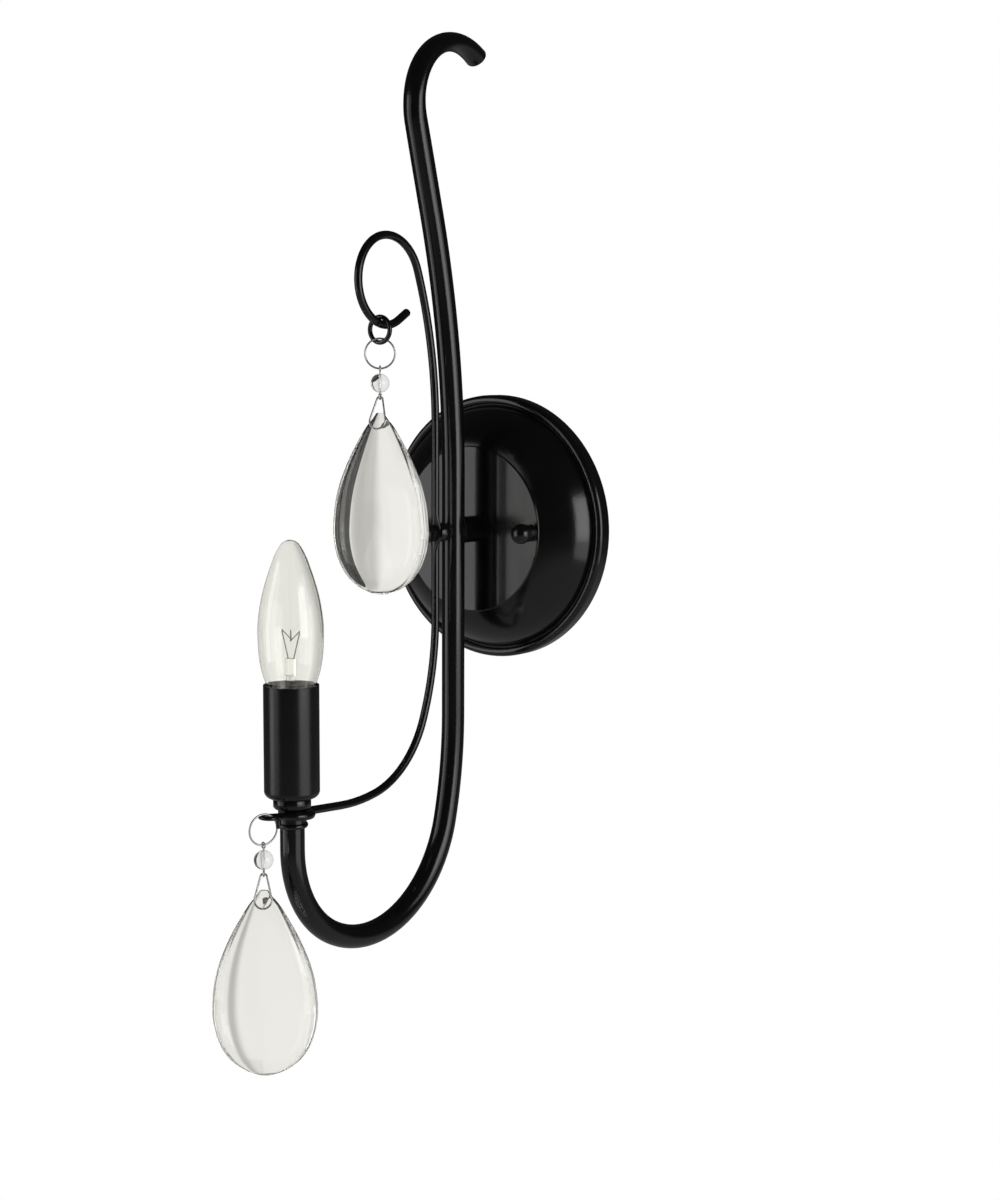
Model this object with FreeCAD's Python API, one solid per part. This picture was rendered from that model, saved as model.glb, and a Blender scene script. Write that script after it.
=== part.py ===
"""Wall sconce with one candle lamp, a wire scroll and two hanging glass drops.

The origin is the centre of the canopy's back, on the wall. +Z is up, the front is -Y and
the wall is the plane Y = 0. The arm, the scroll and both drops hang in the plane X = 0.
All lengths are millimetres.
"""
import FreeCAD, Part
import math
import os

Vec = FreeCAD.Vector
X_AXIS = Vec(1, 0, 0)
Y_AXIS = Vec(0, 1, 0)
Z_AXIS = Vec(0, 0, 1)
FRONT = Vec(0, -1, 0)
ORIGIN = Vec(0, 0, 0)

# Running and assembly clearances
overrun = 5.0
slip_gap = 0.1
hang_gap = 0.3
lead_gap = 0.1
thread_gap = 0.3
cope_gap = 0.02

# Canopy, a spun steel pan with a flat disc, a domed skirt and a beaded rim
canopy_radius = 60.0
canopy_depth = 22.7
canopy_wall = 1.0
rim_width = 4.8
disc_edge_round = 0.8
skirt_width = 17.7
skirt_foot_depth = 5.6
skirt_half_turn_degrees = 29.0
bead_crest_depth = 6.9
bead_side_depth = 4.8
bead_crest_inset = 2.2
groove_depth = 5.4
groove_width = 0.6
stud_inset = 4.5

# Crossbar that screws to the junction box
bar_end_gap = 5.0
bar_width = 22.0
bar_thickness = 1.6
bar_raise = 4.0
bar_step_margin = 0.5
bar_end_round = 4.0
box_slot_inset = 9.55
box_slot_length = 9.0
box_slot_radius = 2.3
bar_centre_hole_radius = 6.0
ground_screw_radius = 2.0
ground_head_radius = 4.0
ground_head_height = 2.4
ground_screw_length = 5.2

# Canopy studs, their jam nuts and the ball cap nuts
stud_radius = 2.05
stud_head_radius = 3.8
stud_head_height = 2.2
stud_reach = 6.5
jam_nut_across_flats = 8.0
jam_nut_height = 3.0
cap_ball_radius = 4.5
cap_ball_centre = 6.8
cap_neck_radius = 3.85
cap_bore_depth = 8.0

# Arm tube: straight runs and arcs, from the lamp down, round the bend and up to the hook
tube_radius = 5.1
tube_wall = 1.0
tube_lamp_straight = 17.5
bend_front_radius = 45.6
bend_front_degrees = 61.2
bend_low_radius = 54.6
bend_low_degrees = 104.3
bend_rear_radius = 189.0
bend_rear_degrees = 14.5
tube_upright = 106.0
sweep_radius = 424.0
sweep_degrees = 15.75
sweep_straight = 39.5
hook_radius = 28.2
hook_degrees = 135.6
hook_tip_straight = 1.8
hook_plug_dome = 1.6
lead_exit_radius = 3.3

# Stem between canopy and tube, with its hollow nipple, lock washer and nut
stem_radius = 6.0
stem_length = 7.383
nipple_radius = 4.0
nipple_bore_radius = 3.0
nipple_seat_depth = 2.2
nipple_inside_reach = 6.0
lock_washer_radius = 7.0
lock_washer_thickness = 0.8
lock_nut_across_flats = 13.0
lock_nut_height = 3.2

# Centre fixing of the scroll: stud, spacer bead, flattened eyelet, ball cap nut
centre_stud_radius = 1.5
spacer_end_radius = 3.2
spacer_belly_radius = 4.3
spacer_length = 7.017
eyelet_half_height = 8.3
eyelet_half_width = 2.9
eyelet_thickness = 2.0
eyelet_neck_share = 0.9
eyelet_taper = 3.1
front_cap_ball_radius = 4.2

# Wire scroll, from its free tip round the loop, down beside the tube and out to the lamp
wire_radius = 1.75
loop_shoulder_radius = 184.4
loop_shoulder_degrees = 21.25
loop_rear_radius = 21.8
loop_rear_degrees = 79.0
loop_front_radius = 18.8
loop_front_degrees = 147.75
loop_low_radius = 17.0
loop_low_degrees = 52.0
loop_tip_straight = 6.3
scroll_upright_top = 47.05
tail_first_radius = 118.0
tail_first_degrees = 22.4
tail_mid_radius = 45.3
tail_mid_degrees = 57.5
tail_low_radius = 92.0
tail_rise_degrees = 4.0
wrap_entry_radius = 4.5
wrap_gap = 0.2
wrap_drop = 2.334
eye_wire_radius = 0.9
eye_radius = 3.4
eye_reach = 14.1
eye_sweep_degrees = 229.0
eye_tail_length = 1.6
eye_tail_bend_radius = 2.0

# Lamp hub, its nipple, the candle socket and the candle cover
hub_flange_radius = 7.75
hub_flange_height = 4.4
hub_sleeve_radius = 5.8
hub_sleeve_length = 8.0
hub_bead_radius = 6.5
hub_bead_height = 2.4
hub_top_drop = 102.0
hub_nipple_radius = 4.0
hub_nipple_bore_radius = 3.0
hub_nipple_reach = 6.5
cover_strap_gap = 0.3
cover_wall = 0.8
cover_height = 46.7
cover_foot_round = 3.0
socket_strap_thickness = 1.1
socket_strap_width = 9.0
socket_strap_rise = 17.0
socket_strap_bend = 2.6
socket_nut_corner_gap = 0.25
socket_nut_height = 2.4
socket_body_radius = 9.2
socket_body_height = 25.0
socket_body_lift = 8.0
socket_floor = 3.0
socket_shell_radius = 6.45
socket_shell_wall = 0.4
socket_shell_rim_drop = 3.0
rivet_radius = 1.2
rivet_head_radius = 2.0
rivet_head_height = 0.7
rivet_depth = 2.0
contact_radius = 2.4
contact_thickness = 0.5
terminal_width = 2.4
terminal_reach = 3.2
shell_tail_distance = 4.4

# Lamp leads inside the tube
lead_radius = 0.95
lead_copper_radius = 0.45
lead_copper_length = 5.0
lead_half_spacing = 1.75
lead_exit_bend = 4.0
lead_exit_run = 24.0

# Candle lamp: its glass has a neck in the cap, a shoulder at the cover's rim, a belly and a tip
lamp_base_radius = 5.95
lamp_base_wall = 0.3
lamp_base_overlap = 5.0
lamp_insulator_height = 3.0
lamp_insulator_tip_radius = 3.0
lamp_contact_radius = 2.2
lamp_contact_height = 1.2
bulb_radius = 13.4
bulb_wall = 0.6
bulb_length = 82.0
bulb_neck_depth = 9.2
bulb_neck_gap = 0.15
bulb_cover_gap = 0.4
neck_height_shares = (0.0, 0.272, 0.491, 0.752, 1.0)
neck_rise_shares = (0.0, 0.0, 0.227, 0.626, 1.0)
belly_height_shares = (0.09, 0.191, 0.327)
belly_rise_shares = (0.514, 0.858, 1.0)
tip_height_shares = (0.445, 0.581, 0.691, 0.8, 0.885, 0.953, 0.985, 1.0)
tip_radius_shares = (0.985, 0.896, 0.776, 0.62, 0.481, 0.321, 0.185, 0.0)
lamp_stem_flare_radius = 4.8
lamp_stem_radius = 2.2
lamp_stem_height = 33.0
lamp_flare_height = 6.0
lamp_press_height = 7.0
lamp_press_width = 5.2
lamp_press_thickness = 2.0
lamp_wire_radius = 0.25
lamp_wire_half_spacing = 1.5
lamp_wire_spread = 4.8
lamp_wire_rise = 11.0
filament_radius = 0.22
filament_drop = 4.0

# Hanging drops: jump ring, link ring, bead on an eyed pin, clip and cut-glass almond
drop_seat_degrees = 14.08
jump_ring_radius = 5.35
jump_wire_radius = 1.0
link_ring_radius = 6.3
link_wire_radius = 0.4
bead_radius = 4.0
bead_hole_radius = 0.6
pin_wire_radius = 0.35
pin_eye_radius = 1.2
pin_play = 0.4
clip_wire_radius = 0.4
clip_height = 13.4
clip_width = 7.0
clip_top_radius = 1.3
clip_tilt_reach = 4.3
crystal_tip_drop = 6.8
crystal_width = 43.0
crystal_height = 77.2
crystal_thickness = 12.4
crystal_hole_radius = 0.8
crystal_girdle = 1.6
crystal_height_shares = (
    0.0, 0.04, 0.08, 0.155, 0.22, 0.285, 0.35, 0.41, 0.475,
    0.54, 0.6, 0.665, 0.73, 0.795, 0.86, 0.92, 0.97, 1.0,
)
crystal_width_shares = (
    0.07, 0.17, 0.287, 0.455, 0.585, 0.7, 0.8, 0.875, 0.935,
    0.973, 0.993, 1.0, 0.975, 0.915, 0.81, 0.645, 0.4, 0.12,
)
crystal_across_shares = (-1.0, -0.92, -0.8, -0.62, 0.0, 0.62, 0.8, 0.92, 1.0)
crystal_dome_shares = (0.0, 0.37, 0.71, 0.93, 1.0, 0.93, 0.71, 0.37, 0.0)
upper_link_facing_degrees = 36.0
upper_crystal_facing_degrees = 18.0
lower_link_facing_degrees = 72.0
lower_crystal_facing_degrees = 36.0


def axis_point(y, z, x=0.0):
    """A point given by its distance from the wall first."""
    return Vec(x, y, z)


def cylinder(radius, height, base, direction=Z_AXIS):
    return Part.makeCylinder(radius, height, base, direction)


def ring_cylinder(outer, inner, height, base, direction=Z_AXIS):
    return cylinder(outer, height, base, direction).cut(cylinder(inner, height, base, direction))


def outline_edges(outline, place):
    """Closed edges through the places; a corner marked 'mid' is the middle of an arc."""
    edges = []
    count = len(outline)
    index = 0
    while index < count:
        follow = (index + 1) % count
        if len(outline[follow]) == 3:
            end = (index + 2) % count
            edges.append(Part.Arc(place[index], place[follow], place[end]).toShape())
            index += 2
        else:
            edges.append(Part.LineSegment(place[index], place[follow]).toShape())
            index += 1
    return edges


def turned(outline, direction=Z_AXIS, base=ORIGIN):
    """Turn an outline of (radius, height) corners about the direction through base."""
    place = [base + X_AXIS * p[0] + direction * p[1] for p in outline]
    face = Part.Face(Part.Wire(outline_edges(outline, place)))
    return face.revolve(base, direction, 360)


def hexagon_nut(across_flats, height, bore, base, direction):
    """A hexagon nut with chamfered corners, its bore and its seat at base."""
    corner = across_flats / math.sqrt(3)
    points = []
    for step in range(7):
        angle = math.radians(60 * step)
        points.append(Vec(corner * math.cos(angle), corner * math.sin(angle), 0))
    prism = Part.Face(Part.makePolygon(points)).extrude(Z_AXIS * height)
    chamfer = corner - across_flats / 2
    shoulder = height - chamfer / 2
    blank = turned(((0, 0), (corner, 0), (corner, shoulder), (corner - chamfer, height), (0, height)))
    nut = prism.common(blank).cut(cylinder(bore, height, ORIGIN))
    nut.Placement = FreeCAD.Placement(base, FreeCAD.Rotation(Z_AXIS, direction))
    return nut


def cap_nut(ball, base, bore):
    """A ball cap nut on a short neck, its seat at base, facing the front."""
    neck_meets_ball = cap_ball_centre - math.sqrt(ball ** 2 - cap_neck_radius ** 2)
    outline = (
        (0, 0),
        (cap_neck_radius, 0),
        (cap_neck_radius, neck_meets_ball),
        (ball, cap_ball_centre, "mid"),
        (0, cap_ball_centre + ball),
    )
    return turned(outline, FRONT, base).cut(cylinder(bore, cap_bore_depth, base, FRONT))


def torus_arc(centre, axis, start, sweep, wire):
    """Part of a ring of round wire: start is a point of its centre line."""
    tangent = axis.cross(start - centre)
    face = Part.Face(Part.Wire(Part.makeCircle(wire, start, tangent)))
    return face.revolve(centre, axis, sweep)


def dome(radius, height, foot):
    """Last two corners of a turned outline that ends in a round dome above foot."""
    ball = (radius ** 2 + height ** 2) / (2 * height)
    half = math.asin(radius / ball) / 2
    middle = foot + height - ball + ball * math.cos(half)
    return (ball * math.sin(half), middle, "mid"), (0, foot + height)


def flat_face(outline, y):
    """A face across X and Z at the given y, from (x, z) corners with arcs as in turned."""
    place = [Vec(p[0], y, p[1]) for p in outline]
    return Part.Face(Part.Wire(outline_edges(outline, place)))


class Route:
    """A path of tangent runs and arcs in a plane, drawn from a point and a heading."""

    def __init__(self, point, heading):
        self.point = point
        self.heading = math.radians(heading)
        self.edges = []

    def place(self, y, z):
        return Vec(0, y, z)

    def run(self, length):
        step = self.place(math.cos(self.heading), math.sin(self.heading)) * length
        self.edges.append(Part.LineSegment(self.point, self.point + step).toShape())
        self.point = self.point + step
        return self

    def turn(self, radius, angle):
        """Turn left by a positive angle and right by a negative one."""
        sign = 1 if angle > 0 else -1
        normal = self.place(-math.sin(self.heading), math.cos(self.heading)) * sign
        centre = self.point + normal * radius
        ends = []
        for share in (0.5, 1.0):
            bearing = self.heading + math.radians(angle) * share
            side = self.place(-math.sin(bearing), math.cos(bearing)) * sign
            ends.append(centre - side * radius)
        self.edges.append(Part.Arc(self.point, ends[0], ends[1]).toShape())
        self.point = ends[1]
        self.heading += math.radians(angle)
        return self

    def direction(self):
        return self.place(math.cos(self.heading), math.sin(self.heading))


def pipe(edges, radius):
    """A round bar along tangent edges."""
    path = Part.Wire(edges)
    first = edges[0]
    start = first.valueAt(first.FirstParameter)
    tangent = first.tangentAt(first.FirstParameter)
    section = Part.Wire(Part.makeCircle(radius, start, tangent))
    return path.makePipeShell([section], True, False)


# Places that several pieces share
skirt_out = canopy_radius - rim_width
disc_radius = skirt_out - skirt_width
canopy_stud_half_spacing = disc_radius - stud_inset
bar_half_length = canopy_radius - canopy_wall - bar_end_gap
bar_step_inner = canopy_stud_half_spacing + stud_head_radius + bar_step_margin
bar_step_outer = bar_step_inner + bar_thickness
box_slot_half_spacing = bar_half_length - box_slot_inset
jam_nut_near = canopy_stud_half_spacing - jam_nut_across_flats / 2
ground_hole_distance = (bar_centre_hole_radius + jam_nut_near) / 2
hub_top = -hub_top_drop
hub_flange_foot = hub_top - hub_flange_height
hub_foot = hub_flange_foot - hub_sleeve_length
tube_top = hub_flange_foot - slip_gap
tube_bend_start = tube_top - tube_lamp_straight
hub_nipple_top = hub_top + hub_nipple_reach
strap_foot = hub_top + cover_wall
socket_foot = hub_top + socket_body_lift
socket_top = socket_foot + socket_body_height
shell_foot = socket_foot + socket_floor
socket_shell_height = socket_top - socket_shell_rim_drop - shell_foot
cover_top = hub_top + cover_height
cover_radius = socket_body_radius + socket_strap_thickness + cover_strap_gap + cover_wall
socket_nut_corner = socket_body_radius - socket_strap_bend - socket_nut_corner_gap
lamp_contact_foot = shell_foot + contact_thickness + lead_gap
lamp_insulator_foot = lamp_contact_foot + lamp_contact_height
lamp_base_foot = lamp_insulator_foot + lamp_insulator_height
bulb_foot = socket_top - bulb_neck_depth
bulb_tip = bulb_foot + bulb_length
lamp_base_height = bulb_foot + lamp_base_overlap - lamp_base_foot
lamp_press_top = bulb_foot + bulb_wall + lamp_stem_height
tube_run_distance = canopy_depth + stem_length + tube_radius
tube_axis = axis_point(-tube_run_distance, 0)
scroll_distance = tube_run_distance + tube_radius + spacer_length + eyelet_thickness / 2
canopy_face = axis_point(-canopy_depth, 0)
canopy_inside = axis_point(canopy_wall - canopy_depth, 0)
eyelet_back = axis_point(-scroll_distance + eyelet_thickness / 2, 0)
eyelet_front = axis_point(-scroll_distance - eyelet_thickness / 2, 0)


def bend_route(route):
    """Carry a route from the foot of the lamp round the bend to the arm's upright."""
    route.turn(bend_front_radius, bend_front_degrees)
    route.turn(bend_low_radius, bend_low_degrees)
    route.turn(bend_rear_radius, bend_rear_degrees)
    return route


lamp_distance = tube_run_distance + bend_route(Route(ORIGIN, -90)).point.y


def arm_route():
    """The arm's centre line, from the hub down, round the bend and up to the hook."""
    route = Route(axis_point(-lamp_distance, tube_top), -90)
    route.run(tube_top - tube_bend_start)
    bend_route(route)
    route.run(tube_upright)
    route.turn(sweep_radius, sweep_degrees)
    route.run(sweep_straight)
    route.turn(hook_radius, -hook_degrees)
    route.run(hook_tip_straight)
    return route


def skirt_point(share, inset):
    """A point of the skirt's arc, from the disc at -1 to the groove at 1."""
    top = canopy_depth - disc_edge_round
    fall = top - skirt_foot_depth
    half_turn = math.radians(skirt_half_turn_degrees)
    radius = math.hypot(skirt_width, fall) / 2 / math.sin(half_turn)
    lean = math.atan2(fall, skirt_width)
    back = radius * math.cos(half_turn)
    centre_out = disc_radius + skirt_width / 2 - back * math.sin(lean)
    centre_depth = skirt_foot_depth + fall / 2 - back * math.cos(lean)
    angle = lean + half_turn * share
    out = centre_out + (radius - inset) * math.sin(angle)
    depth = centre_depth + (radius - inset) * math.cos(angle)
    return out, depth


def make_canopy():
    edge_middle = disc_edge_round * (1 - math.sqrt(0.5))
    inner_rim = (canopy_radius - canopy_wall, bead_side_depth - canopy_wall)
    outline = (
        (0, canopy_depth),
        (disc_radius - disc_edge_round, canopy_depth),
        (disc_radius - edge_middle, canopy_depth - edge_middle, "mid"),
        skirt_point(-1, 0),
        skirt_point(0, 0) + ("mid",),
        skirt_point(1, 0),
        (skirt_out + groove_width, groove_depth),
        (canopy_radius - bead_crest_inset, bead_crest_depth, "mid"),
        (canopy_radius, bead_side_depth),
        (canopy_radius, 0),
        (canopy_radius - canopy_wall, 0),
        inner_rim,
        (skirt_out + groove_width, groove_depth - canopy_wall),
        skirt_point(1, canopy_wall),
        skirt_point(0, canopy_wall) + ("mid",),
        skirt_point(-1, canopy_wall),
        (disc_radius - disc_edge_round, canopy_depth - canopy_wall),
        (0, canopy_depth - canopy_wall),
    )
    pan = turned(outline, FRONT)
    through = canopy_wall + overrun * 2
    back = axis_point(overrun - canopy_depth, 0)
    pan = pan.cut(cylinder(nipple_radius + slip_gap, through, back, FRONT))
    for side in (-1, 1):
        at = back + X_AXIS * (side * canopy_stud_half_spacing)
        pan = pan.cut(cylinder(stud_radius + slip_gap, through, at, FRONT))
    return pan


def make_mounting_bracket():
    """A stepped strap: its ends lie on the box, its middle stands forward for the stud heads."""
    half = (
        (bar_half_length, 0),
        (bar_step_outer, 0),
        (bar_step_inner, bar_raise),
    )
    front = (
        (bar_step_inner, bar_raise + bar_thickness),
        (bar_step_outer + bar_thickness / 2, bar_thickness),
        (bar_half_length, bar_thickness),
    )
    loop = [Vec(x, -y, 0) for x, y in half]
    loop += [Vec(-x, -y, 0) for x, y in reversed(half)]
    loop += [Vec(-x, -y, 0) for x, y in reversed(front)]
    loop += [Vec(x, -y, 0) for x, y in front]
    loop.append(loop[0])
    strap = Part.Face(Part.makePolygon(loop)).extrude(Z_AXIS * bar_width)
    strap.translate(Z_AXIS * (-bar_width / 2))
    rounds = []
    for side in (-1, 1):
        inner = Vec(side * (bar_half_length - bar_end_round), 0, 0)
        size = bar_end_round
        for end in (-1, 1):
            corner = Part.makeBox(size, bar_raise + bar_thickness, size)
            low_x = inner.x if side > 0 else inner.x - size
            low_z = bar_width / 2 - size if end > 0 else -bar_width / 2
            corner.translate(Vec(low_x, -bar_raise - bar_thickness, low_z))
            centre = Vec(inner.x, overrun, end * (bar_width / 2 - size))
            corner = corner.cut(cylinder(size, bar_raise + overrun * 3, centre, FRONT))
            rounds.append(corner)
    for corner in rounds:
        strap = strap.cut(corner)
    through = bar_raise + bar_thickness + overrun * 2
    drill = axis_point(overrun, 0)
    cuts = [cylinder(bar_centre_hole_radius, through, drill, FRONT)]
    cuts.append(cylinder(ground_screw_radius, through, drill + X_AXIS * ground_hole_distance, FRONT))
    for side in (-1, 1):
        cuts.append(cylinder(stud_radius, through, drill + X_AXIS * (side * canopy_stud_half_spacing), FRONT))
        middle = drill + X_AXIS * (side * box_slot_half_spacing)
        reach = box_slot_length / 2 - box_slot_radius
        for end in (-1, 1):
            cuts.append(cylinder(box_slot_radius, through, middle + X_AXIS * (end * reach), FRONT))
        slot = Part.makeBox(reach * 2, through, box_slot_radius * 2)
        slot.translate(Vec(middle.x - reach, overrun - through, -box_slot_radius))
        cuts.append(slot)
    for tool in cuts:
        strap = strap.cut(tool)
    return strap


def stud_places():
    return [X_AXIS * (side * canopy_stud_half_spacing) for side in (-1, 1)]


def make_bracket_studs():
    """Two machine screws, heads behind the raised strap, reaching into the cap nuts."""
    studs = []
    for place in stud_places():
        back = place + FRONT * (bar_raise - stud_head_height)
        head = cylinder(stud_head_radius, stud_head_height, back, FRONT)
        length = canopy_depth + stud_reach - bar_raise
        shank = cylinder(stud_radius, length, place + FRONT * bar_raise, FRONT)
        studs.append(head.fuse(shank).removeSplitter())
    return Part.makeCompound(studs)


def make_bracket_nuts():
    seat = bar_raise + bar_thickness
    nuts = []
    for place in stud_places():
        at = place + FRONT * seat
        nuts.append(hexagon_nut(jam_nut_across_flats, jam_nut_height, stud_radius, at, FRONT))
    return Part.makeCompound(nuts)


def make_canopy_cap_nuts():
    nuts = []
    for place in stud_places():
        nuts.append(cap_nut(cap_ball_radius, place + canopy_face, stud_radius))
    return Part.makeCompound(nuts)


def make_ground_screw():
    seat = X_AXIS * ground_hole_distance + FRONT * (bar_raise + bar_thickness)
    shoulder = ground_head_height / 2
    head_outline = (
        (0, 0),
        (ground_head_radius, 0),
        (ground_head_radius, shoulder),
    ) + dome(ground_head_radius, shoulder, shoulder)
    head = turned(head_outline, FRONT, seat)
    shank_start = seat - FRONT * (ground_screw_length - ground_head_height / 2)
    shank = cylinder(ground_screw_radius, ground_screw_length, shank_start, FRONT)
    slot = Part.makeBox(ground_head_radius * 2, ground_head_height / 2, ground_head_height / 3)
    low = Vec(-ground_head_radius, -ground_head_height, -ground_head_height / 6)
    slot.translate(seat + low)
    return head.fuse(shank).cut(slot).removeSplitter()


def tube_bar():
    """The outside of the tube beside the stem and the spacer."""
    start = tube_axis - Z_AXIS * (stem_radius * 2)
    return cylinder(tube_radius + cope_gap, stem_radius * 4, start)


def make_stem():
    """Round spacer between canopy and tube, coped to the tube, with a nipple seat."""
    reach = tube_run_distance - canopy_depth - tube_radius / 2
    barrel = cylinder(stem_radius, reach, canopy_face, FRONT).cut(tube_bar())
    barrel = barrel.cut(cylinder(nipple_radius, reach, canopy_face, FRONT))
    return barrel


def make_stem_nipple():
    inner_end = canopy_inside - FRONT * nipple_inside_reach
    outer_end = tube_axis + Y_AXIS * (tube_radius + thread_gap)
    length = (inner_end - outer_end).Length
    return ring_cylinder(nipple_radius, nipple_bore_radius, length, inner_end, FRONT)


def make_stem_lock_washer():
    base = canopy_inside - FRONT * lock_washer_thickness
    return ring_cylinder(lock_washer_radius, nipple_radius + slip_gap, lock_washer_thickness, base, FRONT)


def make_stem_lock_nut():
    base = canopy_inside - FRONT * lock_washer_thickness
    return hexagon_nut(lock_nut_across_flats, lock_nut_height, nipple_radius, base, Y_AXIS)


def make_arm_tube():
    route = arm_route()
    tube = pipe(route.edges, tube_radius).cut(pipe(route.edges, tube_radius - tube_wall))
    tube = tube.cut(cylinder(lead_exit_radius, tube_radius + overrun, tube_axis, Y_AXIS))
    tube = tube.cut(cylinder(centre_stud_radius, tube_radius + overrun, tube_axis, FRONT))
    return tube


def make_hook_plug():
    """Domed plug that closes the tube at the tip of the hook."""
    route = arm_route()
    inner = tube_radius - tube_wall
    outline = (
        (0, -hook_tip_straight),
        (inner, -hook_tip_straight),
        (inner, 0),
        (tube_radius, 0),
    ) + dome(tube_radius, hook_plug_dome, 0)
    return turned(outline, route.direction(), route.point)


def make_centre_stud():
    start = tube_axis + FRONT * (tube_radius - tube_wall)
    length = (start - eyelet_front).Length + cap_bore_depth - thread_gap
    return cylinder(centre_stud_radius, length, start, FRONT)


def make_spacer_bead():
    """Turned spacer, coped to the tube at the back and flat on the scroll's eyelet."""
    start = tube_axis
    length = (start - eyelet_back).Length
    near = tube_radius * 0.75
    outline = (
        (centre_stud_radius, near),
        (spacer_end_radius, near),
        (spacer_end_radius, tube_radius),
        (spacer_belly_radius, (tube_radius + length) / 2, "mid"),
        (spacer_end_radius, length),
        (centre_stud_radius, length),
    )
    return turned(outline, FRONT, start).cut(tube_bar())


def make_front_cap_nut():
    return cap_nut(front_cap_ball_radius, eyelet_front, centre_stud_radius)


class TiltedPlane:
    """The plane in which the scroll's tail passes round the hub: it rises to the front."""

    def __init__(self, start):
        self.start = start
        rise = math.radians(tail_rise_degrees)
        self.forward = Vec(0, -math.cos(rise), math.sin(rise))
        self.normal = X_AXIS.cross(self.forward) * -1
        self.hub_ahead = (lamp_distance + start.y) / math.cos(rise)

    def point(self, across, ahead):
        """across is along +X and ahead is from the hub's centre towards the front."""
        return self.start + X_AXIS * across + self.forward * (self.hub_ahead + ahead)


def tail_bend(route):
    """Carry a route from the foot of the scroll's upright to its straight run at the lamp."""
    route.turn(tail_first_radius, -tail_first_degrees)
    route.turn(tail_mid_radius, -tail_mid_degrees)
    level = 90 - tail_first_degrees - tail_mid_degrees
    route.turn(tail_low_radius, -(level + tail_rise_degrees))
    return route


tail_end = tail_bend(Route(axis_point(-scroll_distance, 0), -90)).point
tail_rise = (lamp_distance + tail_end.y) * math.tan(math.radians(tail_rise_degrees))
scroll_upright_foot = hub_flange_foot - wrap_drop - tail_rise - tail_end.z


def scroll_body_route():
    """Scroll in its own plane, drawn from the top of its upright down to the lamp's side."""
    route = Route(axis_point(-scroll_distance, scroll_upright_top), -90)
    route.run(scroll_upright_top - scroll_upright_foot)
    return tail_bend(route)


def scroll_crown_route():
    """Loop of the scroll, drawn from the top of its upright to the foot of the loop."""
    route = Route(axis_point(-scroll_distance, scroll_upright_top), 90)
    route.turn(loop_shoulder_radius, loop_shoulder_degrees)
    route.turn(loop_rear_radius, loop_rear_degrees)
    route.turn(loop_front_radius, loop_front_degrees)
    return route


def scroll_loop_route():
    """The whole loop, to the free tip inside the crown."""
    route = scroll_crown_route()
    route.turn(loop_low_radius, loop_low_degrees)
    route.run(loop_tip_straight)
    return route


def tail_plane():
    return TiltedPlane(scroll_body_route().point)


def wrap_radius():
    return hub_sleeve_radius + wire_radius + wrap_gap


def wrap_geometry():
    """Angles of the wrap about the hub, worked out from its tangent circles."""
    hug = wrap_radius()
    both = wrap_entry_radius + hug
    entry_back = math.sqrt(both ** 2 - wrap_entry_radius ** 2)
    entry_angle = math.atan2(entry_back, wrap_entry_radius)
    leave_angle = math.pi / 2 - math.acos((hug + eye_radius) / eye_reach)
    return hug, entry_back, entry_angle, leave_angle


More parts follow.
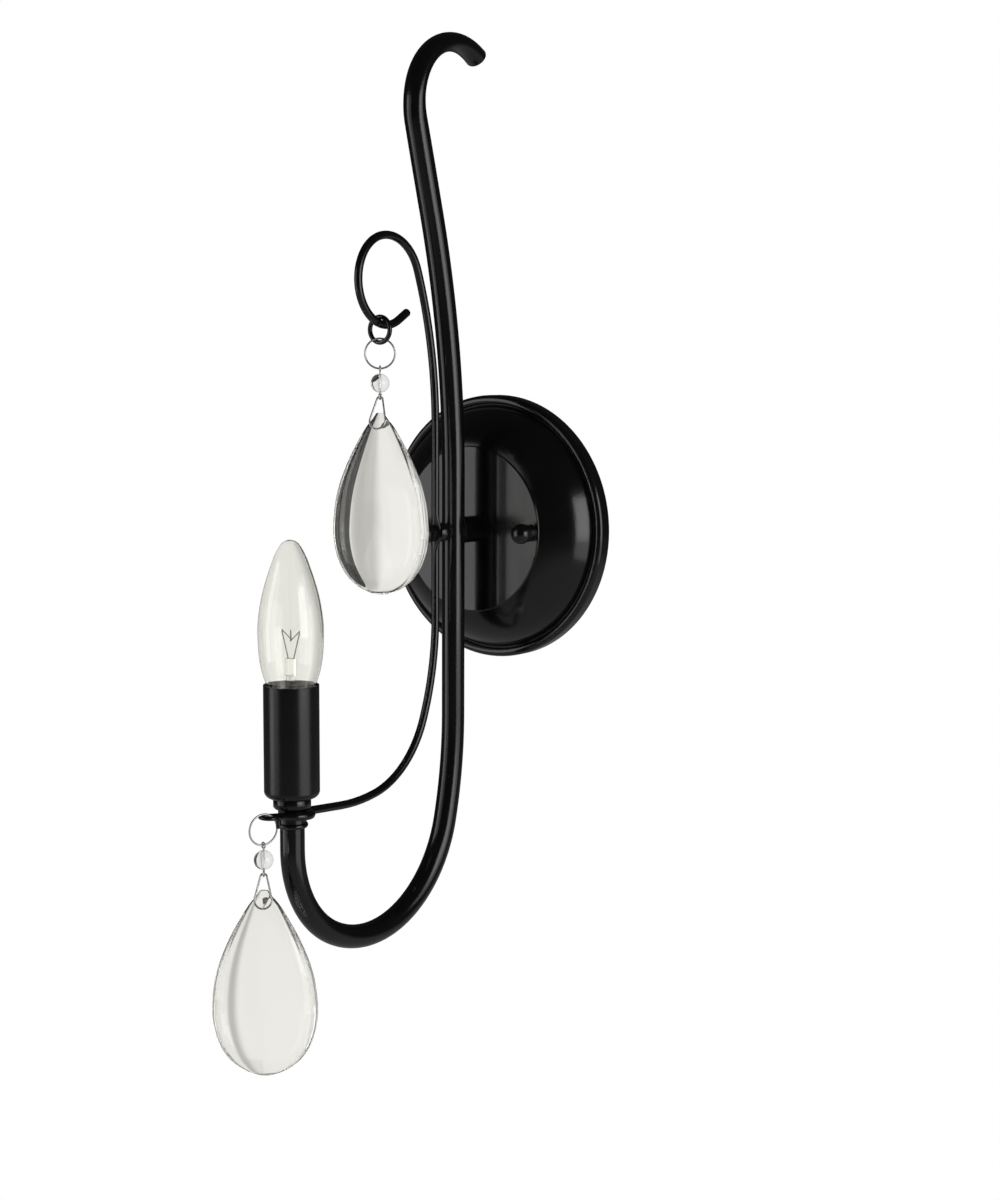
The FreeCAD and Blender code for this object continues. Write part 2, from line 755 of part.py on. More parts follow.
def make_wire_scroll():
    """Wire scroll with a loop above, a flattened eyelet at the stud and an eye at the lamp."""
    plane = tail_plane()
    hug, entry_back, entry_angle, leave_angle = wrap_geometry()
    body = scroll_body_route()
    loop = scroll_loop_route()
    pieces = []

    upper_start = Route(axis_point(-scroll_distance, eyelet_half_height * eyelet_neck_share), 90)
    upper_start.run(scroll_upright_top - eyelet_half_height * eyelet_neck_share)
    pieces.append(pipe(upper_start.edges + loop.edges, wire_radius))
    pieces.append(Part.makeSphere(wire_radius, loop.point))

    lower = Route(axis_point(-scroll_distance, -eyelet_half_height * eyelet_neck_share), -90)
    lower.run(-scroll_upright_foot - eyelet_half_height * eyelet_neck_share)
    entry_start = plane.point(0, -entry_back)
    meet = plane.point(hug * math.cos(entry_angle), -hug * math.sin(entry_angle))
    half_entry = entry_angle / 2
    entry_side = wrap_entry_radius * (1 - math.cos(half_entry))
    entry_mid = plane.point(entry_side, wrap_entry_radius * math.sin(half_entry) - entry_back)
    hug_middle = (leave_angle - entry_angle) / 2
    hug_mid = plane.point(hug * math.cos(hug_middle), hug * math.sin(hug_middle))
    leave = plane.point(hug * math.cos(leave_angle), hug * math.sin(leave_angle))
    tail = [
        Part.LineSegment(body.point, entry_start).toShape(),
        Part.Arc(entry_start, entry_mid, meet).toShape(),
        Part.Arc(meet, hug_mid, leave).toShape(),
    ]
    pieces.append(pipe(lower.edges + body.edges[1:] + tail, wire_radius))

    eye_centre = plane.point(0, eye_reach)
    arrive = plane.point(-eye_radius * math.cos(leave_angle), eye_reach - eye_radius * math.sin(leave_angle))
    lead_out = arrive - leave
    pieces.append(Part.makeCone(wire_radius, eye_wire_radius, lead_out.Length, leave, lead_out))
    pieces.append(torus_arc(eye_centre, plane.normal, arrive, eye_sweep_degrees, eye_wire_radius))
    last_angle = math.pi + leave_angle - math.radians(eye_sweep_degrees)
    eye_end = plane.point(eye_radius * math.cos(last_angle), eye_reach + eye_radius * math.sin(last_angle))
    onward = X_AXIS * math.sin(last_angle) - plane.forward * math.cos(last_angle)
    bend_centre = eye_end - plane.normal * eye_tail_bend_radius
    pieces.append(torus_arc(bend_centre, plane.normal.cross(onward), eye_end, 90, eye_wire_radius))
    tail_start = bend_centre + onward * eye_tail_bend_radius
    pieces.append(cylinder(eye_wire_radius, eye_tail_length, tail_start, plane.normal * -1))
    pieces.append(Part.makeSphere(eye_wire_radius, tail_start - plane.normal * eye_tail_length))

    pieces.append(eyelet_plate())
    scroll = pieces[0].multiFuse(pieces[1:])
    bore_start = axis_point(-scroll_distance + overrun, 0)
    return scroll.cut(cylinder(centre_stud_radius + slip_gap, overrun * 2, bore_start, FRONT)).removeSplitter()


def eyelet_plate():
    """The flattened stretch of the scroll: a pointed oval plate with cone ends in the wire."""
    back = -scroll_distance + eyelet_thickness / 2
    top = Vec(0, back, eyelet_half_height)
    side = Vec(eyelet_half_width, back, 0)
    foot = Vec(0, back, -eyelet_half_height)
    other = Vec(-eyelet_half_width, back, 0)
    edges = [Part.Arc(top, side, foot).toShape(), Part.Arc(foot, other, top).toShape()]
    plate = Part.Face(Part.Wire(edges)).extrude(FRONT * eyelet_thickness)
    for sign in (-1, 1):
        base = axis_point(-scroll_distance, sign * eyelet_half_height * eyelet_neck_share)
        plate = plate.fuse(Part.makeCone(wire_radius, eyelet_thickness / 2, eyelet_taper, base, Z_AXIS * -sign))
    return plate


def make_socket_hub():
    """Turned hub: a sleeve on the tube's end, a flange under the cover, threaded through."""
    bead_top = hub_foot + hub_bead_height
    outline = (
        (hub_nipple_radius, hub_top),
        (hub_flange_radius, hub_top),
        (hub_flange_radius, hub_flange_foot + hub_bead_height / 4),
        (hub_flange_radius - hub_bead_height / 4, hub_flange_foot),
        (hub_sleeve_radius, hub_flange_foot),
        (hub_sleeve_radius, bead_top),
        (hub_bead_radius, (hub_foot + bead_top) / 2, "mid"),
        (hub_sleeve_radius, hub_foot),
        (tube_radius, hub_foot),
        (tube_radius, tube_top),
        (hub_nipple_radius, tube_top),
    )
    return turned(outline, Z_AXIS, axis_point(-lamp_distance, 0))


def make_hub_nipple():
    return ring_cylinder(hub_nipple_radius, hub_nipple_bore_radius, hub_nipple_top - tube_top,
                         axis_point(-lamp_distance, tube_top))


def make_candle_cover():
    """Straight metal sleeve with a rolled foot, clamped between hub and socket strap."""
    inner = cover_radius - cover_wall
    round_out = cover_foot_round
    round_in = cover_foot_round - cover_wall
    diagonal = math.sqrt(0.5)
    outline = (
        (hub_nipple_radius + slip_gap, hub_top),
        (cover_radius - round_out, hub_top),
        (cover_radius - round_out + round_out * diagonal, hub_top + round_out * (1 - diagonal), "mid"),
        (cover_radius, hub_top + round_out),
        (cover_radius, cover_top),
        (inner, cover_top),
        (inner, hub_top + round_out),
        (cover_radius - round_out + round_in * diagonal, hub_top + round_out - round_in * diagonal, "mid"),
        (cover_radius - round_out, hub_top + cover_wall),
        (hub_nipple_radius + slip_gap, hub_top + cover_wall),
    )
    return turned(outline, Z_AXIS, axis_point(-lamp_distance, 0))


def strap_inner():
    return socket_body_radius - socket_strap_thickness


def strap_outline(half_width, foot, bend):
    """Corners of a U: up one leg, round two bends and up the other, as (x, z) with mid marks."""
    easy = bend * (1 - math.sqrt(0.5))
    top = strap_foot + socket_strap_rise
    return (
        (-half_width, top),
        (-half_width, foot + bend),
        (easy - half_width, foot + easy, "mid"),
        (bend - half_width, foot),
        (half_width - bend, foot),
        (half_width - easy, foot + easy, "mid"),
        (half_width, foot + bend),
        (half_width, top),
    )


def make_socket_strap():
    """U-shaped strap that carries the socket body on the hub's nipple."""
    inner = strap_inner()
    thick = socket_strap_thickness
    outside = strap_outline(inner + thick, strap_foot, socket_strap_bend)
    inside = strap_outline(inner, strap_foot + thick, socket_strap_bend - thick)
    face = flat_face(outside + tuple(reversed(inside)), -lamp_distance - socket_strap_width / 2)
    strap = face.extrude(Y_AXIS * socket_strap_width)
    hole = axis_point(-lamp_distance, strap_foot - overrun / 2)
    strap = strap.cut(cylinder(hub_nipple_radius, overrun, hole))
    start = Vec(-cover_radius, -lamp_distance, rivet_height())
    return strap.cut(cylinder(rivet_radius, cover_radius * 2, start, X_AXIS))


def rivet_height():
    return strap_foot + socket_strap_rise - rivet_head_radius - thread_gap


def make_socket_lock_nut():
    base = axis_point(-lamp_distance, strap_foot + socket_strap_thickness)
    across_flats = socket_nut_corner * math.sqrt(3)
    return hexagon_nut(across_flats, socket_nut_height, hub_nipple_radius, base, Z_AXIS)


def make_socket_body():
    """Moulded insulator: a cup with a thick floor and two flats for the strap's legs."""
    centre = axis_point(-lamp_distance, socket_foot)
    body = cylinder(socket_body_radius, socket_body_height, centre)
    hollow = centre + Z_AXIS * socket_floor
    body = body.cut(cylinder(socket_shell_radius, socket_body_height, hollow))
    leg_top = strap_foot + socket_strap_rise
    for sign in (-1, 1):
        flat = Part.makeBox(socket_strap_thickness * 2, socket_strap_width, leg_top - socket_foot)
        low_x = strap_inner() if sign > 0 else -strap_inner() - socket_strap_thickness * 2
        flat.translate(Vec(low_x, -lamp_distance - socket_strap_width / 2, socket_foot))
        body = body.cut(flat)
        start = Vec(sign * (strap_inner() - rivet_reach()), -lamp_distance, rivet_height())
        body = body.cut(cylinder(rivet_radius, cover_radius, start, X_AXIS * sign))
    body = body.cut(cylinder(rivet_radius, overrun, centre - Z_AXIS * (overrun / 4)))
    tail = terminal_tail()
    return body.cut(tail)


def rivet_reach():
    return (strap_inner() - socket_shell_radius) / 2


def terminal_tail():
    """Slot through the socket's floor for the shell's tail."""
    tail = Part.makeBox(contact_thickness, terminal_width, socket_floor + contact_thickness)
    low = Vec(shell_tail_distance, -lamp_distance - terminal_width / 2, socket_foot - contact_thickness)
    tail.translate(low)
    return tail


def make_socket_rivets():
    rivets = []
    for sign in (-1, 1):
        start = Vec(sign * (strap_inner() - rivet_reach()), -lamp_distance, rivet_height())
        length = rivet_reach() + socket_strap_thickness
        shank = cylinder(rivet_radius, length, start, X_AXIS * sign)
        head_start = start + X_AXIS * (sign * length)
        head = cylinder(rivet_head_radius, rivet_head_height, head_start, X_AXIS * sign)
        rivets.append(shank.fuse(head).removeSplitter())
    return Part.makeCompound(rivets)


def make_socket_shell():
    """Threaded shell of the socket, shown plain, with its tail through the floor."""
    base = axis_point(-lamp_distance, shell_foot)
    wall = ring_cylinder(socket_shell_radius, socket_shell_radius - socket_shell_wall, socket_shell_height, base)
    flange = ring_cylinder(socket_shell_radius, shell_tail_distance - contact_thickness, socket_shell_wall, base)
    tail = terminal_tail()
    foot = Part.makeBox(terminal_reach, terminal_width, contact_thickness)
    foot.translate(Vec(shell_tail_distance + contact_thickness - terminal_reach,
                       -lamp_distance - terminal_width / 2, socket_foot - contact_thickness))
    return wall.fuse(flange).fuse(tail).fuse(foot).removeSplitter()


def make_socket_contact():
    """Centre contact, riveted through the floor to its terminal."""
    base = axis_point(-lamp_distance, shell_foot)
    pad = cylinder(contact_radius, contact_thickness, base)
    reach = socket_floor + contact_thickness
    shaft = cylinder(rivet_radius, reach, base - Z_AXIS * reach)
    foot = Part.makeBox(terminal_reach, terminal_width, contact_thickness)
    foot.translate(Vec(rivet_radius - terminal_reach - contact_thickness,
                       -lamp_distance - terminal_width / 2, socket_foot - contact_thickness))
    return pad.fuse(shaft).fuse(foot).removeSplitter()


def lead_route(offset):
    """Centre line of one lead: down from its terminal, through the arm and out at the stem."""
    start = Vec(offset, -lamp_distance, socket_foot - contact_thickness - lead_gap)
    route = Route(start, -90)
    route.run(start.z - tube_bend_start)
    bend_route(route)
    route.run(-lead_exit_bend - route.point.z)
    route.turn(lead_exit_bend, -90)
    route.run(lead_exit_run)
    return route


def make_lead(offset):
    route = lead_route(offset)
    jacket = pipe(route.edges, lead_radius)
    copper = cylinder(lead_copper_radius, lead_copper_length, route.point, route.direction())
    return jacket.fuse(copper).removeSplitter()


def bulb_profile():
    """Height and radius of the glass from its foot to its tip."""
    neck = lamp_base_radius - lamp_base_wall - bulb_neck_gap
    shoulder = cover_radius - cover_wall - bulb_cover_gap
    below = cover_top - bulb_foot
    above = bulb_tip - cover_top
    places = []
    for height_share, rise_share in zip(neck_height_shares, neck_rise_shares):
        places.append((bulb_foot + below * height_share, neck + (shoulder - neck) * rise_share))
    for height_share, rise_share in zip(belly_height_shares, belly_rise_shares):
        places.append((cover_top + above * height_share, shoulder + (bulb_radius - shoulder) * rise_share))
    for height_share, radius_share in zip(tip_height_shares, tip_radius_shares):
        places.append((cover_top + above * height_share, bulb_radius * radius_share))
    return places


def bulb_curve(inset):
    """Glass outline from foot to tip; the inner one lies a wall inside."""
    points = []
    for height, radius in bulb_profile():
        low = inset if radius == 0 else 0
        points.append(axis_point(-lamp_distance, height - low, max(radius - inset, 0)))
    curve = Part.BSplineCurve()
    curve.interpolate(Points=points, InitialTangent=Z_AXIS, FinalTangent=X_AXIS * -1)
    return curve.toShape(), points


def make_bulb_glass():
    """Blown torpedo envelope, hollow, its neck inside the metal base."""
    outer, outer_points = bulb_curve(0)
    inner, inner_points = bulb_curve(bulb_wall)
    tip = Part.LineSegment(outer_points[-1], inner_points[-1]).toShape()
    foot = Part.LineSegment(inner_points[0], outer_points[0]).toShape()
    face = Part.Face(Part.Wire([outer, tip, inner, foot]))
    return face.revolve(axis_point(-lamp_distance, 0), Z_AXIS, 360)


def make_bulb_base():
    """Thin screw base, shown plain, with a floor edge that holds the insulator."""
    base = axis_point(-lamp_distance, lamp_base_foot)
    inner = lamp_base_radius - lamp_base_wall
    wall = ring_cylinder(lamp_base_radius, inner, lamp_base_height, base)
    lip = ring_cylinder(lamp_base_radius, inner - lamp_base_wall, lamp_base_wall, base)
    return wall.fuse(lip).removeSplitter()


def make_bulb_insulator():
    height = lamp_insulator_height
    outline = (
        (0, 0),
        (lamp_insulator_tip_radius, 0),
        (lamp_base_radius - lamp_base_wall, height),
        (lamp_base_radius - lamp_base_wall * 2, height),
        (lamp_base_radius - lamp_base_wall * 2, height + lamp_base_wall * 2),
        (0, height + lamp_base_wall * 2),
    )
    return turned(outline, Z_AXIS, axis_point(-lamp_distance, lamp_insulator_foot))


def make_bulb_contact():
    outline = (
        (0, 0),
        (lamp_contact_radius / 2, 0),
        (lamp_contact_radius, lamp_contact_height),
        (0, lamp_contact_height),
    )
    return turned(outline, Z_AXIS, axis_point(-lamp_distance, lamp_contact_foot))


def make_bulb_stem():
    """Glass stem: a flare welded in the neck, a tube and the flattened press."""
    foot = bulb_foot + bulb_wall
    tube_end = lamp_press_top - lamp_press_height
    flare = Part.makeCone(lamp_stem_flare_radius, lamp_stem_radius, lamp_flare_height,
                          axis_point(-lamp_distance, foot))
    shaft = cylinder(lamp_stem_radius, tube_end - foot, axis_point(-lamp_distance, foot))
    press = Part.makeBox(lamp_press_width, lamp_press_thickness, lamp_press_height)
    press.translate(Vec(-lamp_press_width / 2, -lamp_distance - lamp_press_thickness / 2, tube_end))
    return flare.fuse(shaft).fuse(press).removeSplitter()


def lamp_wire_tops():
    height = lamp_press_top + lamp_wire_rise
    return [Vec(sign * lamp_wire_spread, -lamp_distance, height) for sign in (-1, 1)]


def rod(start, end, radius):
    return cylinder(radius, (end - start).Length, start, end - start)


def make_bulb_lead_wires():
    """Two stiff wires that spread from the press to the ends of the filament."""
    wires = []
    for sign, top in zip((-1, 1), lamp_wire_tops()):
        foot = Vec(sign * lamp_wire_half_spacing, -lamp_distance, lamp_press_top)
        wires.append(rod(foot, top, lamp_wire_radius))
    return Part.makeCompound(wires)


def make_bulb_filament():
    """Fine coil shown as a bent wire between the two lead wires."""
    start, end = lamp_wire_tops()
    lift = Z_AXIS * (lamp_wire_radius + filament_radius)
    third = (end - start) * (1 / 3)
    corners = [
        start + lift,
        start + third + lift - Z_AXIS * filament_drop + Y_AXIS * (filament_drop / 2),
        start + third * 1.5 + lift,
        start + third * 2 + lift - Z_AXIS * filament_drop - Y_AXIS * (filament_drop / 2),
        end + lift,
    ]
    body = Part.makeSphere(filament_radius, corners[0])
    for near, far in zip(corners, corners[1:]):
        body = body.fuse(rod(near, far, filament_radius))
        body = body.fuse(Part.makeSphere(filament_radius, far))
    return body


def loop_seat():
    """Centre of the scroll's wire where the upper drop hangs, at the foot of the loop."""
    route = scroll_crown_route()
    heading = route.heading
    centre = route.point + axis_point(-math.sin(heading), math.cos(heading)) * loop_low_radius
    lean = math.radians(drop_seat_degrees)
    return centre - axis_point(math.sin(lean), math.cos(lean)) * loop_low_radius


def facing(azimuth):
    """Unit vector in plan: 0 looks to the front and 90 to +X."""
    angle = math.radians(azimuth)
    return Vec(math.sin(angle), -math.cos(angle), 0)


def hung_below(centre, radius, wire, next_wire):
    """Height of the next ring's top wire when it hangs in a ring of this centre."""
    return centre.z - radius + wire + next_wire + hang_gap


jump_centre = loop_seat() + Z_AXIS * (wire_radius + hang_gap - (jump_ring_radius - jump_wire_radius))
upper_link_top = hung_below(jump_centre, jump_ring_radius, jump_wire_radius, link_wire_radius)
upper_link_centre = axis_point(jump_centre.y, upper_link_top - link_ring_radius)


def eye_outer_strand():
    """Centre of the scroll's eye where the lower drop hangs."""
    return tail_plane().point(0, eye_reach + eye_radius)


def lower_link_middle():
    strand = eye_outer_strand()
    return strand + Z_AXIS * (eye_wire_radius + link_wire_radius + hang_gap - link_ring_radius)


lower_link_centre = lower_link_middle()


def make_upper_jump_ring():
    return Part.makeTorus(jump_ring_radius, jump_wire_radius, jump_centre, Y_AXIS)


def make_upper_link_ring():
    return Part.makeTorus(link_ring_radius, link_wire_radius, upper_link_centre, facing(upper_link_facing_degrees))


def make_lower_link_ring():
    return Part.makeTorus(link_ring_radius, link_wire_radius, lower_link_centre, facing(lower_link_facing_degrees))


def pin_eyes(link_centre):
    """Centres of the two eyes of a bead pin that hangs in a link ring."""
    top_wire = hung_below(link_centre, link_ring_radius, link_wire_radius, pin_wire_radius)
    upper = axis_point(link_centre.y, top_wire - pin_eye_radius)
    length = (bead_radius + pin_eye_radius + pin_wire_radius) * 2 + pin_play
    return upper, upper - Z_AXIS * length


def make_bead(link_centre):
    lower = pin_eyes(link_centre)[1]
    centre = lower + Z_AXIS * (pin_eye_radius + pin_wire_radius + bead_radius)
    bead = Part.makeSphere(bead_radius, centre)
    return bead.cut(cylinder(bead_hole_radius, bead_radius * 2, centre - Z_AXIS * bead_radius))


def make_bead_pin(link_centre, link_azimuth, crystal_azimuth):
    """Straight pin with a closed eye at each end, turned to suit its neighbours."""
    upper, lower = pin_eyes(link_centre)
    first = Part.makeTorus(pin_eye_radius, pin_wire_radius, upper, facing(link_azimuth + 90))
    last = Part.makeTorus(pin_eye_radius, pin_wire_radius, lower, facing(crystal_azimuth + 90))
    shaft = rod(upper - Z_AXIS * pin_eye_radius, lower + Z_AXIS * pin_eye_radius, pin_wire_radius)
    return first.fuse(last).fuse(shaft)


def clip_top(link_centre):
    """Centre of the clip's wire where it hangs in the pin's lower eye."""
    lower = pin_eyes(link_centre)[1]
    return axis_point(link_centre.y, hung_below(lower, pin_eye_radius, pin_wire_radius, clip_wire_radius))


def turn_to(shape, centre, azimuth):
    """Turn a shape that faces the front about the drop's vertical line."""
    shape.rotate(axis_point(centre.y, 0), Z_AXIS, azimuth)
    return shape


def crystal_tip(link_centre):
    return clip_top(link_centre) - Z_AXIS * crystal_tip_drop


def clip_foot(link_centre):
    """Centre of the clip's lowest wire, in front of the crystal's hole."""
    return clip_top(link_centre) - Z_AXIS * clip_height + FRONT * clip_tilt_reach


def make_crystal_clip(link_centre, azimuth):
    """Pointed oval of spring wire in front of the crystal, with a pin through its hole."""
    top = clip_top(link_centre)
    foot = clip_foot(link_centre)
    down = (foot - top).normalize()
    length = (foot - top).Length
    half = clip_width / 2
    top_centre = top + down * clip_top_radius
    low_centre = foot - down * half
    gap = length - clip_top_radius - half
    lean = math.asin((half - clip_top_radius) / gap)
    pieces = []
    corners = []
    for sign in (-1, 1):
        outward = X_AXIS * (sign * math.cos(lean)) - down * math.sin(lean)
        high = top_centre + outward * clip_top_radius
        low = low_centre + outward * half
        corners.append((high, low))
        pieces.append(rod(high, low, clip_wire_radius))
    normal = X_AXIS.cross(down)
    turn = 180 - 2 * math.degrees(lean)
    arch = torus_arc(top_centre, normal, corners[0][0], turn, clip_wire_radius)
    bowl = torus_arc(low_centre, normal * -1, corners[0][1], 180 + 2 * math.degrees(lean), clip_wire_radius)
    clip = arch.multiFuse([bowl] + pieces)
    back = Y_AXIS * (clip_tilt_reach * 2 + clip_wire_radius * 2)
    clip = clip.fuse(rod(foot, foot + back, clip_wire_radius))
    clip = clip.fuse(Part.makeSphere(crystal_hole_radius * 1.5, foot + back))
    return turn_to(clip, link_centre, azimuth)


def crystal_section(tip, height_share, width_share):
    """Closed outline of the crystal at one height: a dome each side and a thin girdle."""
    half_width = crystal_width / 2 * width_share
    dome = crystal_thickness / 2 * width_share ** 0.85
    edge = min(crystal_girdle / 2, dome / 2)
    height = tip.z - crystal_height * height_share
    front = []
    rear = []
    for across, rise in zip(crystal_across_shares, crystal_dome_shares):
        depth = edge + (dome - edge) * rise
        front.append(Vec(half_width * across, tip.y - depth, height))
        rear.append(Vec(half_width * across, tip.y + depth, height))
    corners = front + list(reversed(rear))
    corners.append(corners[0])
    return Part.makePolygon(corners)


def make_crystal(link_centre, azimuth):
    """Cut almond with facets from top to bottom, drilled near its tip."""
    tip = crystal_tip(link_centre)
    sections = []
    for height_share, width_share in zip(crystal_height_shares, crystal_width_shares):
        sections.append(crystal_section(tip, height_share, width_share))
    stone = Part.makeLoft(sections, True, True)
    hole = clip_foot(link_centre) - FRONT * (clip_tilt_reach + crystal_thickness)
    stone = stone.cut(cylinder(crystal_hole_radius, crystal_thickness * 2, hole, FRONT))
    return turn_to(stone, link_centre, azimuth)


def lamp_lead_offsets():
    return (-lead_half_spacing, lead_half_spacing)


hot_offset, neutral_offset = lamp_lead_offsets()
nodes = {
    "canopy": make_canopy(),
    "mounting_bracket": make_mounting_bracket(),
    "bracket_studs": make_bracket_studs(),
    "bracket_nuts": make_bracket_nuts(),
    "ground_screw": make_ground_screw(),
    "canopy_cap_nuts": make_canopy_cap_nuts(),
    "stem_collar": make_stem(),
    "arm_nipple": make_stem_nipple(),
    "nipple_washer": make_stem_lock_washer(),
    "nipple_nut": make_stem_lock_nut(),
    "arm_tube": make_arm_tube(),
    "hook_end_plug": make_hook_plug(),
    "centre_stud": make_centre_stud(),
    "spacer_bead": make_spacer_bead(),
    "wire_scroll": make_wire_scroll(),
    "front_cap_nut": make_front_cap_nut(),
    "socket_hub": make_socket_hub(),
    "hub_nipple": make_hub_nipple(),
    "candle_cover": make_candle_cover(),
    "socket_bracket": make_socket_strap(),
    "socket_lock_nut": make_socket_lock_nut(),
    "socket_body": make_socket_body(),
    "socket_rivets": make_socket_rivets(),
    "socket_shell": make_socket_shell(),
    "socket_contact": make_socket_contact(),
    "lamp_lead_hot": make_lead(hot_offset),
    "lamp_lead_neutral": make_lead(neutral_offset),
    "bulb_glass": make_bulb_glass(),
    "bulb_base": make_bulb_base(),
    "bulb_insulator": make_bulb_insulator(),
    "bulb_contact": make_bulb_contact(),
    "bulb_stem": make_bulb_stem(),
    "bulb_lead_wires": make_bulb_lead_wires(),
    "bulb_filament": make_bulb_filament(),
    "upper_jump_ring": make_upper_jump_ring(),
    "upper_link_ring": make_upper_link_ring(),
    "upper_bead": make_bead(upper_link_centre),
    "upper_bead_pin": make_bead_pin(upper_link_centre, upper_link_facing_degrees, upper_crystal_facing_degrees),
    "upper_crystal_clip": make_crystal_clip(upper_link_centre, upper_crystal_facing_degrees),
    "upper_crystal": make_crystal(upper_link_centre, upper_crystal_facing_degrees),
    "lower_link_ring": make_lower_link_ring(),
    "lower_bead": make_bead(lower_link_centre),
    "lower_bead_pin": make_bead_pin(lower_link_centre, lower_link_facing_degrees, lower_crystal_facing_degrees),
    "lower_crystal_clip": make_crystal_clip(lower_link_centre, lower_crystal_facing_degrees),
    "lower_crystal": make_crystal(lower_link_centre, lower_crystal_facing_degrees),
}

os.makedirs("parts", exist_ok=True)
for name, shape in nodes.items():
    shape.exportStep("parts/" + name + ".step")
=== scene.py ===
import math

import bpy
import numpy as np
from mathutils import Matrix, Vector


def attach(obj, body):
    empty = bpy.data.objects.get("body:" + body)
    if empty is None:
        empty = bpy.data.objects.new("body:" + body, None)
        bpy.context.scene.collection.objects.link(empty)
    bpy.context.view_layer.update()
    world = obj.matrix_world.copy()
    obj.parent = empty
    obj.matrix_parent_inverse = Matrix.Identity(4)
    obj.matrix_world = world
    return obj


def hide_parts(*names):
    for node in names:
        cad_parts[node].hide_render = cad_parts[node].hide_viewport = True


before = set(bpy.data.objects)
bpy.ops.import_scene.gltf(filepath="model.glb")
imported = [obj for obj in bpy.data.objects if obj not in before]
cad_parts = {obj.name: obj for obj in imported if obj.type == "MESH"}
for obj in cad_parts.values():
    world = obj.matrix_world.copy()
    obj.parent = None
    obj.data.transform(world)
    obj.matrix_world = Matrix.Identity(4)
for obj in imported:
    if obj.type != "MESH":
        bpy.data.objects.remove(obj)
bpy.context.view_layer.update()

MM = 0.001
X, Y, Z = np.eye(3)
FRONT = -Y


# Node trees

class Socket:
    """An output socket that does arithmetic by adding maths nodes."""

    def __init__(self, net, socket):
        self.net = net
        self.socket = socket

    def maths(self, operation, *others):
        inputs = dict(enumerate((self,) + others))
        return self.net.node("ShaderNodeMath", inputs, operation=operation)

    def __add__(self, other):
        return self.maths("ADD", other)

    def __mul__(self, other):
        return self.maths("MULTIPLY", other)

    def power(self, other):
        return self.maths("POWER", other)

    def clamp(self):
        return self.net.node("ShaderNodeClamp", {"Value": self})

    def choose(self, without, within):
        """The first value where this socket is 0 and the second where it is 1."""
        return self.net.node("ShaderNodeMix", {0: self, 2: without, 3: within})


class Net:
    """A node tree; node() adds any node and returns one of its outputs."""

    def __init__(self, tree):
        self.tree = tree
        tree.nodes.clear()

    def node(self, kind, inputs=None, output=0, **settings):
        made = self.tree.nodes.new(kind)
        for key, value in settings.items():
            setattr(made, key, value)
        for key, value in (inputs or {}).items():
            if isinstance(value, Socket):
                self.tree.links.new(value.socket, made.inputs[key])
            else:
                made.inputs[key].default_value = value
        return Socket(self, made.outputs[output]) if made.outputs else None

    def place(self):
        return self.node("ShaderNodeTexCoord", output=3)

    def noise(self, scale, detail=3.0, roughness=0.5, stretch=None):
        vector = self.place()
        if stretch:
            vector = self.node("ShaderNodeVectorMath", {0: vector, 1: stretch}, operation="MULTIPLY")
        values = {"Vector": vector, "Scale": scale, "Detail": detail, "Roughness": roughness}
        return self.node("ShaderNodeTexNoise", values)

    def tint(self, amount, low, high):
        values = {0: amount, 6: tuple(low) + (1.0,), 7: tuple(high) + (1.0,)}
        return self.node("ShaderNodeMix", values, output=2, data_type="RGBA")

    def bump(self, height, distance, strength=1.0):
        values = {"Height": height, "Distance": distance, "Strength": strength}
        return self.node("ShaderNodeBump", values)


def material(name, make, **constants):
    """A principled material; make(net) gives the inputs that vary over the surface."""
    made = bpy.data.materials.new(name)
    made.use_nodes = True
    net = Net(made.node_tree)
    values = {key.replace("_", " "): value for key, value in constants.items()}
    values.update(make(net))
    shader = net.node("ShaderNodeBsdfPrincipled", values)
    net.node("ShaderNodeOutputMaterial", {"Surface": shader})
    return made


def paint(low, high, rough, grain, relief):
    """Sprayed black: a slight orange peel, fine dust and uneven gloss."""

    def make(net):
        wide = net.noise(60.0, 4.0)
        peel = net.noise(900.0, 2.0)
        dust = net.noise(grain, 1.0).power(8.0)
        return {
            "Base Color": net.tint((wide + dust * 2.0).clamp(), low, high),
            "Roughness": wide * 0.10 + rough,
            "Normal": net.bump(peel + dust * 0.6, relief),
        }

    return make


def drawn_metal(low, high, rough, stretch):
    """Bare or plated metal with fine lines along its length and a mottled tone."""

    def make(net):
        lines = net.noise(1500.0, 2.0, stretch=stretch)
        mottle = net.noise(220.0, 3.0)
        return {
            "Base Color": net.tint(mottle, low, high),
            "Roughness": lines * 0.15 + rough,
            "Normal": net.bump(lines, 0.00002, 0.4),
        }

    return make


def moulded(low, high, rough):
    def make(net):
        fine = net.noise(1400.0, 3.0)
        wide = net.noise(90.0, 2.0)
        return {
            "Base Color": net.tint(wide, low, high),
            "Roughness": fine * 0.12 + rough,
            "Normal": net.bump(fine, 0.00004, 0.5),
        }

    return make


def glass(low, high, rough, wave):
    """Clear glass with slow waves in its surface and a faint unevenness of tone."""

    def make(net):
        slow = net.noise(wave, 1.0)
        fine = net.noise(700.0, 2.0)
        return {
            "Base Color": net.tint(slow, low, high),
            "Roughness": fine * rough,
            "Normal": net.bump(slow, 0.0002, 0.25),
        }

    return make


